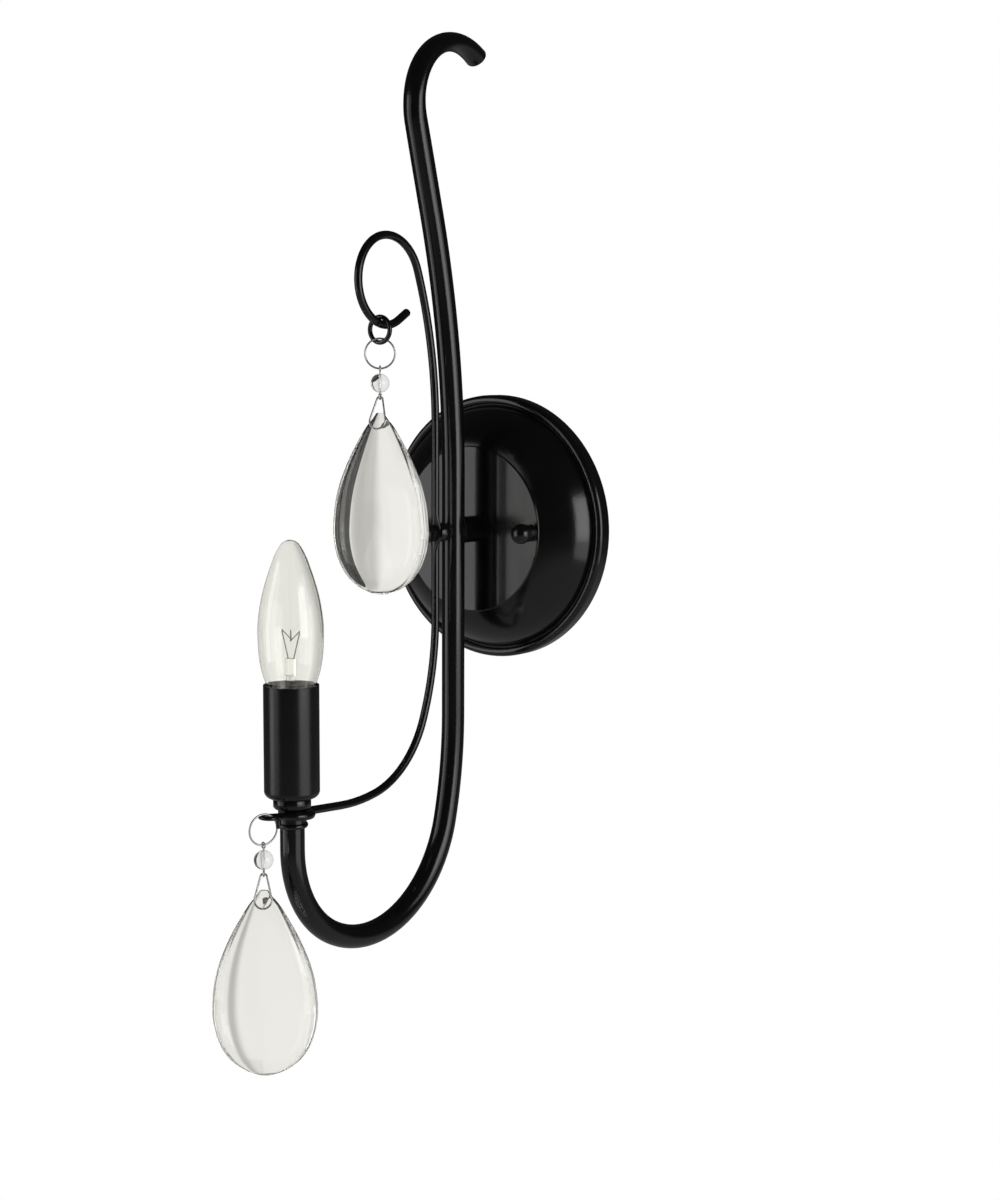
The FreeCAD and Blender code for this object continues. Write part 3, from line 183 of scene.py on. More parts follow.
black_paint = material(
    "black_paint", paint((0.0032, 0.0032, 0.0034), (0.0065, 0.0065, 0.007), 0.13, 420.0, 0.00003),
    Metallic=0.0, Coat_Weight=0.2, Coat_Roughness=0.08, IOR=1.5)
cover_paint = material(
    "cover_paint", paint((0.0045, 0.0045, 0.0048), (0.009, 0.009, 0.0095), 0.20, 420.0, 0.00004),
    Metallic=0.0, Coat_Weight=0.1, Coat_Roughness=0.2, IOR=1.5)
zinc = material(
    "zinc", drawn_metal((0.55, 0.55, 0.53), (0.72, 0.72, 0.71), 0.22, (1.0, 1.0, 0.2)), Metallic=1.0)
green_zinc = material(
    "green_zinc", drawn_metal((0.03, 0.30, 0.10), (0.06, 0.42, 0.16), 0.28, (1.0, 0.2, 1.0)), Metallic=0.7)
brass = material(
    "brass", drawn_metal((0.66, 0.48, 0.22), (0.80, 0.62, 0.32), 0.20, (1.0, 1.0, 0.2)), Metallic=1.0)
lamp_cap = material(
    "lamp_cap", drawn_metal((0.66, 0.66, 0.64), (0.82, 0.82, 0.80), 0.18, (0.1, 0.1, 1.0)), Metallic=1.0)
tungsten = material(
    "tungsten", drawn_metal((0.20, 0.19, 0.18), (0.34, 0.33, 0.31), 0.28, (1.0, 1.0, 0.1)), Metallic=0.9)
silver = material(
    "silver", drawn_metal((0.62, 0.62, 0.61), (0.80, 0.80, 0.79), 0.16, (1.0, 1.0, 0.2)), Metallic=0.75)
phenolic = material(
    "phenolic", moulded((0.030, 0.026, 0.022), (0.050, 0.044, 0.038), 0.35), IOR=1.5)
lead_black = material(
    "lead_black", moulded((0.012, 0.012, 0.012), (0.024, 0.024, 0.024), 0.45), IOR=1.45)
lead_white = material(
    "lead_white", moulded((0.74, 0.73, 0.70), (0.84, 0.83, 0.80), 0.42), IOR=1.45)
bulb_clear = material(
    "bulb_clear", glass((0.93, 0.925, 0.885), (0.955, 0.95, 0.915), 0.02, 40.0),
    Transmission_Weight=1.0, IOR=1.45)
crystal_clear = material(
    "crystal_clear", glass((0.955, 0.942, 0.885), (0.98, 0.967, 0.915), 0.03, 25.0),
    Transmission_Weight=0.97, IOR=1.52)
bead_clear = material(
    "bead_clear", glass((0.86, 0.86, 0.85), (0.93, 0.93, 0.92), 0.03, 120.0),
    Transmission_Weight=1.0, IOR=1.52)


# Surfaces

def grid_mesh(name, points, finish, wrap_u=False, wrap_v=False, sharp=40.0):
    """A mesh through an (n, m, 3) grid in metres: u runs down the rows and v along each."""
    count_u, count_v = points.shape[:2]
    flat = points.reshape(-1, 3)
    u = np.arange(count_u if wrap_u else count_u - 1)
    v = np.arange(count_v if wrap_v else count_v - 1)
    uu, vv = np.meshgrid(u, v, indexing="ij")
    next_u = (uu + 1) % count_u
    next_v = (vv + 1) % count_v
    corners = [uu * count_v + vv, next_u * count_v + vv, next_u * count_v + next_v, uu * count_v + next_v]
    faces = np.stack(corners, -1).reshape(-1, 4)
    return add_mesh(name, flat, faces.tolist(), finish, sharp)


def add_mesh(name, points, faces, finish, sharp=40.0):
    mesh = bpy.data.meshes.new(name)
    mesh.from_pydata([tuple(p) for p in points], [], faces)
    mesh.update()
    merge_points(mesh)
    for polygon in mesh.polygons:
        polygon.use_smooth = True
    mesh.set_sharp_from_angle(angle=math.radians(sharp))
    made = bpy.data.objects.new(name, mesh)
    bpy.context.scene.collection.objects.link(made)
    mesh.materials.append(finish)
    return made


def merge_points(mesh):
    """Weld points that coincide, such as at a pole, and make the faces look outward."""
    import bmesh

    work = bmesh.new()
    work.from_mesh(mesh)
    bmesh.ops.remove_doubles(work, verts=work.verts, dist=1e-7)
    bmesh.ops.recalc_face_normals(work, faces=work.faces)
    work.to_mesh(mesh)
    work.free()


def unit(vector):
    return vector / np.linalg.norm(vector)


def arc_through(start, middle, end, count):
    """Points of the circle's arc through three points of a plane, the first left out."""
    (ax, ay), (bx, by), (cx, cy) = start, middle, end
    d = 2 * (ax * (by - cy) + bx * (cy - ay) + cx * (ay - by))
    aa, bb, cc = ax * ax + ay * ay, bx * bx + by * by, cx * cx + cy * cy
    ux = (aa * (by - cy) + bb * (cy - ay) + cc * (ay - by)) / d
    uy = (aa * (cx - bx) + bb * (ax - cx) + cc * (bx - ax)) / d
    radius = math.hypot(ax - ux, ay - uy)
    first, mid, last = (math.atan2(p[1] - uy, p[0] - ux) for p in (start, middle, end))
    full = 2 * math.pi
    sweep = (last - first) % full
    if (mid - first) % full > sweep:
        sweep -= full
    angles = first + sweep * np.arange(1, count + 1) / count
    return [(ux + radius * math.cos(a), uy + radius * math.sin(a)) for a in angles]


def outline(corners, count=14):
    """Points along straight lines and arcs; a corner with a third value is an arc's middle."""
    points = [corners[0][:2]]
    index = 1
    while index < len(corners):
        corner = corners[index]
        if len(corner) == 3:
            points += arc_through(points[-1], corner[:2], corners[index + 1][:2], count)
            index += 2
        else:
            points.append(corner)
            index += 1
    return np.array(points)


def lathe(name, profile, finish, base, axis=Z, segments=96, sharp=40.0, closed=True):
    """Turned solid: P(u, v) = base + r(u) (cos v S + sin v T) + h(u) axis, in mm."""
    side = X if abs(axis[0]) < 0.5 else Y
    other = np.cross(axis, side)
    angle = np.linspace(0, 2 * math.pi, segments, endpoint=False)
    ring = np.cos(angle)[:, None] * side + np.sin(angle)[:, None] * other
    radius = profile[:, 0][:, None, None]
    height = profile[:, 1][:, None, None]
    points = (np.asarray(base, float) + radius * ring[None] + height * axis) * MM
    return grid_mesh(name, points, finish, wrap_u=closed, wrap_v=True, sharp=sharp)


def sweep(name, path, finish, radii, side=X, segments=28, closed=False, domes=(0.0, 0.0)):
    """Tube along a path: P(s, a) = C(s) + p(s) cos a N(s) + q(s) sin a B(s), in mm.

    radii holds one pair (p, q) for each point, N is square to the path and to B, and B is
    carried along from the given side with the least twist.
    """
    path = np.asarray(path, float)
    radii = np.asarray(radii, float)
    if closed:
        tangent = np.roll(path, -1, 0) - np.roll(path, 1, 0)
    else:
        tangent = np.gradient(path, axis=0)
    tangent /= np.linalg.norm(tangent, axis=1)[:, None]
    rows = []
    across = side
    for point, ahead, (p, q) in zip(path, tangent, radii):
        across = unit(across - ahead * across.dot(ahead))
        rows.append((point, ahead, across, p, q))
    rings = []
    angle = np.linspace(0, 2 * math.pi, segments, endpoint=False)

    def ring(point, ahead, across, p, q):
        normal = np.cross(ahead, across)
        return point + p * np.cos(angle)[:, None] * normal + q * np.sin(angle)[:, None] * across

    def dome(row, height, sign):
        point, ahead, across, p, q = row
        opening = np.linspace(math.pi / 2, 0, 7)[:-1]
        steps = opening if sign < 0 else opening[::-1]
        made = []
        for step in steps:
            scale = max(math.cos(step), 1e-4)
            centre = point + sign * height * math.sin(step) * ahead
            made.append(ring(centre, ahead, across, p * scale, q * scale))
        return made

    if not closed:
        rings += dome(rows[0], domes[0] or 1e-3, -1)
    rings += [ring(*row) for row in rows]
    if not closed:
        rings += dome(rows[-1], domes[1] or 1e-3, 1)
    points = np.array(rings) * MM
    return grid_mesh(name, points, finish, wrap_u=closed, wrap_v=True)


def torus(name, centre, axis, radius, wire, finish, segments=72):
    """Ring of round wire: C(t) = centre + R (cos t S + sin t T)."""
    axis = unit(np.asarray(axis, float))
    side = unit(np.cross(axis, Z) if abs(axis[2]) < 0.9 else np.cross(axis, X))
    other = np.cross(axis, side)
    angle = np.linspace(0, 2 * math.pi, segments, endpoint=False)
    path = centre + radius * (np.cos(angle)[:, None] * side + np.sin(angle)[:, None] * other)
    return sweep(name, path, finish, [(wire, wire)] * segments, side=axis, segments=16, closed=True)


class Route:
    """Points in the plane X = 0 along tangent runs and arcs, in mm."""

    def __init__(self, y, z, heading):
        self.heading = math.radians(heading)
        self.points = [np.array((0.0, y, z))]

    def ahead(self):
        return np.array((0.0, math.cos(self.heading), math.sin(self.heading)))

    def run(self, length, step=4.0):
        count = max(2, int(length / step))
        start = self.points[-1]
        for share in np.linspace(0, 1, count + 1)[1:]:
            self.points.append(start + self.ahead() * length * share)
        return self

    def turn(self, radius, angle, step=2.5):
        sign = math.copysign(1, angle)
        normal = np.array((0.0, -math.sin(self.heading), math.cos(self.heading))) * sign
        centre = self.points[-1] + normal * radius
        count = max(3, int(abs(angle) / step), int(radius * math.radians(abs(angle)) / 4.0))
        start = self.heading
        for share in np.linspace(0, 1, count + 1)[1:]:
            self.heading = start + math.radians(angle) * share
            side = np.array((0.0, -math.sin(self.heading), math.cos(self.heading))) * sign
            self.points.append(centre - side * radius)
        return self


def smooth_curve(points, per_span=8):
    """Catmull-Rom curve through the given points."""
    points = np.asarray(points, float)
    padded = np.vstack([2 * points[0] - points[1], points, 2 * points[-1] - points[-2]])
    made = []
    for index in range(1, len(padded) - 2):
        a, b, c, d = padded[index - 1:index + 3]
        for t in np.linspace(0, 1, per_span, endpoint=False):
            made.append(0.5 * (2 * b + (c - a) * t + (2 * a - 5 * b + 4 * c - d) * t ** 2
                               + (3 * b - a - 3 * c + d) * t ** 3))
    made.append(points[-1])
    return np.array(made)


def settle(piece, body, slot, *nodes):
    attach(piece, body)
    if nodes:
        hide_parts(*nodes)
    return piece


# Camera first, at the viewing angle of the photograph

def look(azimuth, elevation, roll, distance, target):
    a, e, r = (math.radians(v) for v in (azimuth, elevation, roll))
    back = np.array((math.sin(a) * math.cos(e), -math.cos(a) * math.cos(e), math.sin(e)))
    right = np.array((math.cos(a), math.sin(a), 0.0))
    up = np.cross(back, right)
    right_rolled = right * math.cos(r) + up * math.sin(r)
    up_rolled = up * math.cos(r) - right * math.sin(r)
    data = bpy.data.cameras.new("camera")
    data.lens = 60.0
    data.sensor_width = 36.0
    data.clip_start = 0.05
    data.clip_end = 30.0
    made = bpy.data.objects.new("camera", data)
    bpy.context.scene.collection.objects.link(made)
    place = (np.asarray(target) + back * distance) * MM
    matrix = Matrix.Identity(4)
    for column, vector in enumerate((right_rolled, up_rolled, back, place)):
        for row in range(3):
            matrix[row][column] = vector[row]
    made.matrix_world = matrix
    bpy.context.scene.camera = made


look(azimuth=35.80, elevation=6.855, roll=0.24, distance=925.6, target=(0.0, 0.64, -34.54))
scene = bpy.context.scene
scene.view_settings.view_transform = "Standard"
scene.view_settings.look = "None"


# Arm tube with its hook, slightly flattened where it is bent tightest

lamp_y = -144.0
arm = Route(lamp_y, -106.5, -90).run(17.5)
arm.turn(45.6, 61.2).turn(54.6, 104.3).turn(189.0, 14.5)
arm.run(106.0).turn(424.0, 15.75).run(39.5)
hook_start = len(arm.points)
arm.turn(28.2, -135.6).run(1.8, 0.6)
count = len(arm.points)
thin = np.clip((np.arange(count) - hook_start + 6) / 16.0, 0, 1)
thin = thin * thin * (3 - 2 * thin)
ease = np.clip((count - 1 - np.arange(count)) / 10.0, 0, 1)
in_plane = 5.08 - thin * (0.55 + 0.40 * ease)
arm_radii = np.stack([in_plane, np.full(count, 5.08)], 1)
arm_piece = sweep("arm_tube_skin", arm.points, black_paint, arm_radii, segments=48, domes=(0.0, 1.6))
settle(arm_piece, "fixture", "black_paint", "arm_tube", "hook_end_plug")


# Wire scroll: loop, flattened eyelet at the stud, tail round the hub and a small eye

SCROLL_WIRE, EYE_WIRE = 1.75, 0.9
scroll_y = -48.3
crown = Route(scroll_y, 47.05, 90)
crown.turn(184.4, 21.25).turn(21.8, 79.0).turn(18.8, 147.75)
crown.turn(17.0, 52.0).run(6.3, 1.0)
tail = Route(scroll_y, 47.05, -90).run(84.4, 1.0)
tail.turn(118.0, -22.4).turn(45.3, -57.5).turn(92.0, -14.1)
start = tail.points[-1]
forward = tail.ahead()
lift = np.cross(forward, X)
hub_ahead = (-lamp_y + start[1]) / math.cos(math.radians(4.0))
hug, entry = 5.8 + 1.75 + 0.2, 4.5
eye_radius, eye_reach = 3.4, 14.1


def plane_point(across, ahead):
    return start + X * across + forward * (hub_ahead + ahead)


entry_back = math.sqrt((entry + hug) ** 2 - entry ** 2)
entry_angle = math.atan2(entry_back, entry)
leave_angle = math.pi / 2 - math.acos((hug + eye_radius) / eye_reach)
extra, wire = [], []
for share in np.linspace(0.1, 1, 10):
    extra.append(plane_point(0, -hub_ahead + (hub_ahead - entry_back) * share))
    wire.append(SCROLL_WIRE)
for angle in np.linspace(0, entry_angle, 14)[1:]:
    extra.append(plane_point(entry * (1 - math.cos(angle)), entry * math.sin(angle) - entry_back))
    wire.append(SCROLL_WIRE)
for angle in np.linspace(-entry_angle, leave_angle, 26)[1:]:
    extra.append(plane_point(hug * math.cos(angle), hug * math.sin(angle)))
    wire.append(SCROLL_WIRE)
leave = extra[-1]
arrive = plane_point(-eye_radius * math.cos(leave_angle), eye_reach - eye_radius * math.sin(leave_angle))
for share in np.linspace(0, 1, 9)[1:]:
    extra.append(leave + (arrive - leave) * share)
    wire.append(SCROLL_WIRE + (EYE_WIRE - SCROLL_WIRE) * share)
for turned_by in np.linspace(0, 229.0, 40)[1:]:
    angle = math.pi + leave_angle - math.radians(turned_by)
    extra.append(plane_point(eye_radius * math.cos(angle), eye_reach + eye_radius * math.sin(angle)))
    wire.append(EYE_WIRE)
onward = X * math.sin(angle) - forward * math.cos(angle)
bend_centre = extra[-1] - lift * 2.0
for angle in np.linspace(0, math.pi / 2, 9)[1:]:
    extra.append(bend_centre + 2.0 * (onward * math.sin(angle) + lift * math.cos(angle)))
    wire.append(EYE_WIRE)
for share in (0.5, 1.0):
    extra.append(bend_centre + onward * 2.0 - lift * 1.6 * share)
    wire.append(EYE_WIRE)
scroll_path = crown.points[::-1] + tail.points[1:] + extra
plain = len(scroll_path) - len(extra)
scroll_radii = np.full((len(scroll_path), 2), SCROLL_WIRE)
scroll_radii[plain:] = np.array(wire)[:, None]
for index in range(plain):
    height = scroll_path[index][2]
    if abs(scroll_path[index][1] - scroll_y) < 0.5 and abs(height) < 8.6:
        share = 0.5 + 0.5 * math.cos(math.pi * height / 8.6)
        share = min(1.0, share * 1.35)
        scroll_radii[index] = (1.75 - 0.75 * share, 1.75 + 1.05 * share ** 1.2)
scroll_piece = sweep(
    "wire_scroll_skin", scroll_path, black_paint, scroll_radii, segments=28, domes=(1.2, 0.9))
settle(scroll_piece, "fixture", "black_paint", "wire_scroll")


# Canopy, cap nuts, the hub and the candle cover, all turned

canopy_line = outline((
    (0, 22.7), (36.7, 22.7), (37.27, 22.47, 1), (37.5, 21.9),
    (48.45, 16.04, 1), (55.2, 5.6), (55.8, 5.4),
    (57.8, 6.9, 1), (59.95, 4.8), (59.95, 0), (59, 0), (59, 3.8), (55.8, 4.4), (54.25, 5.28),
    (47.78, 15.3, 1), (37.26, 20.93), (36.7, 21.7), (0, 21.7)), 20)
canopy_piece = lathe("canopy_skin", canopy_line, black_paint, (0, 0, 0), FRONT, 160, 32.0)
settle(canopy_piece, "fixture", "black_paint", "canopy")


def cap_profile(ball):
    neck_top = 6.8 - math.sqrt(ball ** 2 - 3.85 ** 2)
    return outline((
        (0, 0), (3.85, 0), (3.85, neck_top - 0.5), (3.75, neck_top - 0.1),
        (ball - 0.01, 6.8, 1), (0, 6.79 + ball)), 18)


for sign in (-1, 1):
    cap = lathe("cap_nut_%s" % ("left" if sign < 0 else "right"), cap_profile(4.5), black_paint,
                (33.0 * sign, -22.7, 0), FRONT, 48)
    settle(cap, "fixture", "black_paint")
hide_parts("canopy_cap_nuts")
front_cap = lathe("front_cap_skin", cap_profile(4.2), black_paint, (0, -49.3, 0), FRONT, 48)
settle(front_cap, "fixture", "black_paint", "front_cap_nut")

hub_line = outline((
    (4.0, -102), (7.5, -102), (7.75, -102.3), (7.75, -105.6), (7.1, -106.4),
    (5.9, -106.5), (5.8, -106.9), (5.8, -112.2), (6.5, -113.4, 1),
    (5.8, -114.4), (5.1, -114.4), (5.1, -106.5), (4.0, -106.5)), 12)
settle(lathe("hub_skin", hub_line, black_paint, (0, lamp_y, 0), Z, 80), "fixture", "black_paint", "socket_hub")

slant = math.sqrt(0.5)
cover_line = outline((
    (4.1, -102), (8.4, -102), (8.4 + 3 * slant, -99 - 3 * slant, 1), (11.4, -99),
    (11.4, -55.45), (11.25, -55.3), (10.75, -55.3), (10.6, -55.45), (10.6, -99),
    (8.4 + 2.2 * slant, -99 - 2.2 * slant, 1), (8.4, -101.2), (4.1, -101.2)), 14)
cover_piece = lathe("cover_skin", cover_line, cover_paint, (0, lamp_y, 0), Z, 112)
settle(cover_piece, "fixture", "cover_black", "candle_cover")


# Lamp glass: the outline is a smooth curve through measured radii

BULB_RADIUS, BULB_FOOT, BULB_TALL, BULB_WALL = 13.35, -78.2, 82.0, 0.55
bulb_heights = np.array((
    0.0, 0.076, 0.137, 0.21, 0.279, 0.344, 0.417, 0.515, 0.6, 0.698, 0.777, 0.856, 0.917, 0.966, 0.989, 1.0))
bulb_radii = np.array((
    0.41, 0.41, 0.49, 0.63, 0.761, 0.884, 0.966, 1.0, 0.985, 0.896, 0.776, 0.62, 0.481, 0.321, 0.185, 0.0))
bulb_outer = smooth_curve(np.stack([bulb_radii * BULB_RADIUS, BULB_FOOT + BULB_TALL * bulb_heights], 1), 8)
bulb_outer[:, 0] = np.maximum(bulb_outer[:, 0], 0)
bulb_inner = bulb_outer[::-1].copy()
bulb_inner[:, 0] = np.maximum(bulb_inner[:, 0] - BULB_WALL, 0)
bulb_inner[:, 1] = np.minimum(bulb_inner[:, 1], BULB_FOOT + BULB_TALL - BULB_WALL)
bulb_line = np.vstack([bulb_outer, bulb_inner])
settle(lathe("bulb_skin", bulb_line, bulb_clear, (0, lamp_y, 0), Z, 112), "bulb", "clear_glass", "bulb_glass")


# Hanging drops

upper_y = -86.5
lower_y = plane_point(0, eye_reach + eye_radius)[1]
seat_z = 90.51
jump_z = seat_z + 1.75 + 0.3 - 4.35
upper_link_z = jump_z - 5.35 + 1.7 - 6.3
lower_link_z = plane_point(0, eye_reach + eye_radius)[2] + 1.6 - 6.3


def facing(azimuth):
    angle = math.radians(azimuth)
    return np.array((math.sin(angle), -math.cos(angle), 0.0))


def across_of(azimuth):
    angle = math.radians(azimuth)
    return np.array((math.cos(angle), math.sin(angle), 0.0))


def ball(name, centre, radius, finish, rows=40):
    """Sphere with two slightly flattened poles where the pin enters."""
    t = np.linspace(-math.pi / 2, math.pi / 2, rows)
    profile = np.stack([radius * np.cos(t), np.clip(radius * np.sin(t), -radius * 0.99, radius * 0.99)], 1)
    return lathe(name, profile, finish, centre, Z, 64, 60.0, closed=False)


def pin(name, upper, lower, upper_azimuth, lower_azimuth):
    """Eye pin: P runs round the upper eye, down the shaft and round the lower eye."""
    radius, path = 1.2, []
    for turned_by in np.linspace(330, 0, 30):
        a = math.radians(turned_by)
        path.append(upper + radius * (math.sin(a) * across_of(upper_azimuth) - math.cos(a) * Z))
    for share in np.linspace(0, 1, 12)[1:]:
        path.append(upper - Z * (radius + 0.25) + (lower - upper + Z * 2 * (radius + 0.25)) * share)
    for turned_by in np.linspace(0, 330, 30):
        a = math.radians(turned_by)
        path.append(lower + radius * (math.sin(a) * across_of(lower_azimuth) + math.cos(a) * Z))
    wires = [(0.35, 0.35)] * len(path)
    return sweep(name, path, silver, wires, side=facing(upper_azimuth), segments=12, domes=(0.2, 0.2))


def clip(name, top, azimuth):
    """Pointed oval of spring wire in front of the crystal, with a pin through its hole."""
    front, side = facing(azimuth), across_of(azimuth)
    foot = top - Z * 13.4 + front * 4.3
    down = unit(foot - top)
    length = np.linalg.norm(foot - top)
    small, big = 1.3, 3.5
    gap = length - small - big
    lean = math.asin((big - small) / gap)
    high, low = top + down * small, foot - down * big
    path = []
    for a in np.linspace(math.pi - lean, lean, 16):
        path.append(high + small * (math.cos(a) * side - math.sin(a) * down))
    for a in np.linspace(lean, -math.pi - lean, 40):
        path.append(low + big * (math.cos(a) * side - math.sin(a) * down))
    wires = [(0.4, 0.4)] * len(path)
    ring = sweep(name, path, silver, wires, side=np.cross(side, down), segments=12, closed=True)
    line = [foot + (front * 0.1) - front * share * 9.3 for share in np.linspace(0, 1, 8)]
    widths = [(0.4, 0.4)] * 6 + [(0.7, 0.7), (1.0, 1.0)]
    rod = sweep(name + "_rod", line, silver, widths, side=side, segments=12, domes=(0.4, 0.5))
    return ring, rod


CRYSTAL_HALF_WIDTH, CRYSTAL_HALF_DEPTH, CRYSTAL_TALL = 21.45, 6.17, 77.15
crystal_heights = np.array((
    0.0, 0.04, 0.08, 0.155, 0.22, 0.285, 0.35, 0.41, 0.475,
    0.54, 0.6, 0.665, 0.73, 0.795, 0.86, 0.92, 0.97, 1.0))
crystal_widths = np.array((
    0.07, 0.17, 0.287, 0.455, 0.585, 0.7, 0.8, 0.875, 0.935,
    0.973, 0.993, 1.0, 0.975, 0.915, 0.81, 0.645, 0.4, 0.12))


def crystal(name, tip, azimuth):
    """Almond pillow: P(u, v) = tip - 77.2 v Z + W(v) u A +- (e + (D(v) - e) S(u)) F.

    S(u) = 1 - 0.16 |u| - 0.84 |u|^5.5 has a low ridge down its middle. W is the half
    width from the table, D the half thickness 6.2 (W / 21.5)^0.85, e the half girdle, A the
    direction across the drop and F the one it faces.
    """
    front, side = facing(azimuth), across_of(azimuth)
    table = smooth_curve(np.stack([crystal_heights, crystal_widths], 1), 6)
    across = np.sin(np.linspace(-math.pi / 2, math.pi / 2, 41))
    rows = []
    for height, share in table:
        share = min(max(share, 0.02), 1.0)
        width, depth = CRYSTAL_HALF_WIDTH * share, CRYSTAL_HALF_DEPTH * share ** 0.85
        edge = min(0.8, depth / 2)
        rise = edge + (depth - edge) * (1 - 0.16 * np.abs(across) - 0.84 * np.abs(across) ** 5.5)
        level = tip - Z * CRYSTAL_TALL * height
        near = level + (width * across)[:, None] * side + rise[:, None] * front
        far = level + (width * across[::-1])[:, None] * side - rise[::-1][:, None] * front
        rows.append(np.vstack([near, far]))
    rows = np.array(rows)
    first, last = rows[0].mean(0), rows[-1].mean(0)
    ends = [np.repeat(end[None], rows.shape[1], 0)[None] for end in (first, last)]
    rows = np.vstack([ends[0], rows, ends[1]])
    return grid_mesh(name, rows * MM, crystal_clear, wrap_u=False, wrap_v=True, sharp=50.0)


jump = torus("jump_ring_skin", np.array((0, upper_y, jump_z)), Y, 5.35, 1.0, black_paint)
settle(jump, "upper_ring", "black_paint", "upper_jump_ring")
drops = (
    ("upper", upper_y, upper_link_z, 36.0, 18.0),
    ("lower", lower_y, lower_link_z, 72.0, 36.0),
)
for word, y, link_z, link_azimuth, crystal_azimuth in drops:
    link_centre = np.array((0, y, link_z))
    link = torus(word + "_link_skin", link_centre, facing(link_azimuth), 6.3, 0.4, silver)
    settle(link, word + "_link", "silver_wire", word + "_link_ring")
    upper_eye = link_centre - Z * (6.3 - 0.4 - 0.35 - 0.3 + 1.2)
    lower_eye = upper_eye - Z * 11.5
    bead = ball(word + "_bead_skin", link_centre - Z * 12.4, 3.98, bead_clear)
    settle(bead, word + "_drop", "crystal_glass", word + "_bead")
    made = pin(word + "_pin_skin", upper_eye, lower_eye, link_azimuth + 90, crystal_azimuth + 90)
    settle(made, word + "_drop", "silver_wire", word + "_bead_pin")
    top = lower_eye - Z * (1.2 - 0.35 - 0.4 - 0.3)
    ring, rod = clip(word + "_clip_skin", top, crystal_azimuth)
    settle(ring, word + "_pendant", "silver_wire", word + "_crystal_clip")
    settle(rod, word + "_pendant", "silver_wire")
    stone = crystal(word + "_crystal_skin", top - Z * 6.8, crystal_azimuth)
    settle(stone, word + "_pendant", "crystal_glass", word + "_crystal")


# Materials of the carried-over nodes

nodes_by_finish = (
    (zinc, "mounting_bracket bracket_studs bracket_nuts arm_nipple nipple_washer nipple_nut centre_stud"
           " hub_nipple socket_bracket"),
    (green_zinc, "ground_screw"),
    (brass, "socket_lock_nut socket_rivets socket_shell socket_contact"),
    (phenolic, "socket_body bulb_insulator"),
    (lead_black, "lamp_lead_hot"),
    (lead_white, "lamp_lead_neutral"),
    (lamp_cap, "bulb_base bulb_contact"),
    (bulb_clear, "bulb_stem bulb_glass"),
    (tungsten, "bulb_lead_wires bulb_filament"),
    (black_paint, "stem_collar spacer_bead canopy canopy_cap_nuts arm_tube hook_end_plug wire_scroll"
                  " front_cap_nut socket_hub upper_jump_ring"),
    (cover_paint, "candle_cover"),
    (silver, "upper_link_ring upper_bead_pin upper_crystal_clip lower_link_ring lower_bead_pin"
             " lower_crystal_clip"),
    (bead_clear, "upper_bead lower_bead"),
    (crystal_clear, "upper_crystal lower_crystal"),
)
finishes = {name: finish for finish, names in nodes_by_finish for name in names.split()}
for name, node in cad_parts.items():
    for slot in node.material_slots:
        slot.material = finishes[name]


# Plain pale stage and soft studio light

MIRRORED, AMBIENT = 0.02, 0.20
# Painted shade seen through glass: pale to the left, a grey band just right of the line of sight, then pale
# again further right.
SEEN_THROUGH_PALE, PAINTED_SHADE_GREY, SEEN_THROUGH_FAR = 0.91, 0.52, 0.86
RIGHTWARD, GREY_RAMP, FAR_RAMP = (0.81, 0.585, 0.0), (-0.10, 0.0), (0.04, 0.14)
# Painted pool of light on the floor as glossy rays see it: far and near brightness, and the distances of the
# fade.
PAINTED_POOL_FAR, PAINTED_POOL_NEAR, POOL_FADE = (0.06, 0.06, 0.06), (0.26, 0.26, 0.26), (4.0, 1.6)


def ray_kinds(net):
    """Whether a ray comes from the camera, from a glossy surface or out of glass."""
    return [net.node("ShaderNodeLightPath", output=kind) for kind in (0, 3, 6)]


def painted_glass_shade(net, heading):
    """Painted shade seen only through glass: the backdrop's brightness for rays out of glass, with a soft grey
    band just right of the line of sight that darkens the crystals and the lamp glass.
    """
    aside = net.node("ShaderNodeVectorMath", {0: heading, 1: RIGHTWARD}, output=1, operation="DOT_PRODUCT")
    grey = {0: aside, 1: GREY_RAMP[0], 2: GREY_RAMP[1], 3: SEEN_THROUGH_PALE, 4: PAINTED_SHADE_GREY}
    far = {0: aside, 1: FAR_RAMP[0], 2: FAR_RAMP[1], 3: 0.0, 4: SEEN_THROUGH_FAR - PAINTED_SHADE_GREY}
    near_painted_shade, far_painted_shade = (
        net.node("ShaderNodeMapRange", values, interpolation_type="SMOOTHSTEP") for values in (grey, far))
    return near_painted_shade + far_painted_shade


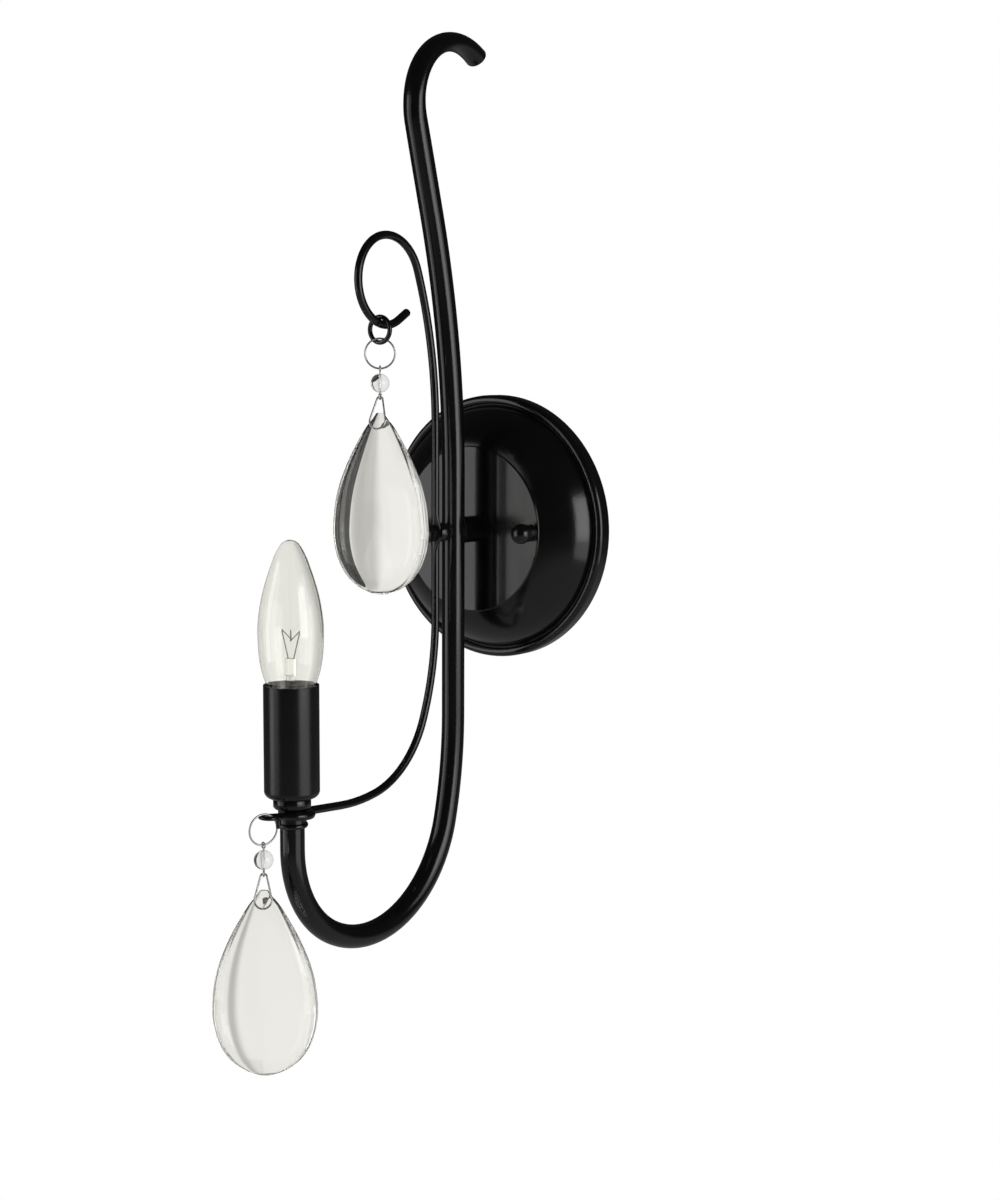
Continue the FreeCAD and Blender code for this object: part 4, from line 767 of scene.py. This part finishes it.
def stage_finish():
    made = bpy.data.materials.new("stage_white")
    made.use_nodes = True
    net = Net(made.node_tree)
    seen, glossy, through = ray_kinds(net)
    shader = net.node("ShaderNodeBsdfDiffuse", {"Color": (0.8, 0.8, 0.8, 1.0)})
    # Painted pool of light: the floor in reflections is brightest within 1.6 m of the middle and fades to dark
    # by 4 m.
    distance = net.node("ShaderNodeVectorMath", {0: net.place()}, output=1, operation="LENGTH")
    near = net.node("ShaderNodeMapRange", {0: distance, 1: POOL_FADE[0], 2: POOL_FADE[1]}, interpolation_type="SMOOTHSTEP")
    painted_floor_pool = net.tint(near, PAINTED_POOL_FAR, PAINTED_POOL_NEAR)
    outward = net.node("ShaderNodeVectorMath", {0: net.place()}, operation="NORMALIZE")
    # Rays out of glass see the painted grey band of shade on the floor.
    passed, white = painted_glass_shade(net, outward), (1.0, 1.0, 1.0, 1.0)
    for factor, colour in ((glossy, painted_floor_pool), (through, passed), (seen, white)):
        glow = net.node("ShaderNodeEmission", {"Color": colour})
        shader = net.node("ShaderNodeMixShader", {0: factor, 1: shader, 2: glow})
    net.node("ShaderNodeOutputMaterial", {"Surface": shader})
    return made


FLOOR_HALF, FLOOR_LEVEL = 6, -0.9
floor_corners = [(FLOOR_HALF * x, FLOOR_HALF * y, FLOOR_LEVEL) for x, y in ((-1, -1), (1, -1), (1, 1), (-1, 1))]
floor = add_mesh("floor", floor_corners, [(0, 1, 2, 3)], stage_finish())

world = bpy.data.worlds.new("studio")
scene.world = world
world.use_nodes = True
net = Net(world.node_tree)
seen, glossy, through = ray_kinds(net)
# Rays out of glass see the painted grey band of shade; the camera sees white, and glossy rays see an even dark.
tone = painted_glass_shade(net, net.node("ShaderNodeTexCoord"))
level = seen.choose(through.choose(glossy.choose(AMBIENT, MIRRORED), tone), 1.0)
background = net.node("ShaderNodeBackground", {"Color": (1.0, 1.0, 1.0, 1.0), "Strength": level})
net.node("ShaderNodeOutputWorld", {0: background})


def lamp(name, azimuth, elevation, distance, width, height, power):
    """Soft box on a sphere round the object, turned towards its middle."""
    a, e = math.radians(azimuth), math.radians(elevation)
    aim = Vector((0.0, -0.08, 0.0))
    back = Vector((math.sin(a) * math.cos(e), -math.cos(a) * math.cos(e), math.sin(e)))
    data = bpy.data.lights.new(name, "AREA")
    data.shape = "RECTANGLE"
    data.size = width
    data.size_y = height
    data.energy = power
    made = bpy.data.objects.new(name, data)
    scene.collection.objects.link(made)
    made.location = aim + back * distance
    made.rotation_mode = "QUATERNION"
    made.rotation_quaternion = back.to_track_quat("Z", "Y")


lamp("left_box", -44.0, 2.0, 1.4, 0.44, 1.15, 2.7)
lamp("left_fall", -24.0, 2.0, 1.4, 0.60, 1.15, 1.5)
lamp("right_box", 88.0, 6.0, 1.4, 0.70, 0.80, 3.2)
lamp("right_fall", 95.0, 0.0, 1.5, 1.30, 1.40, 6.0)
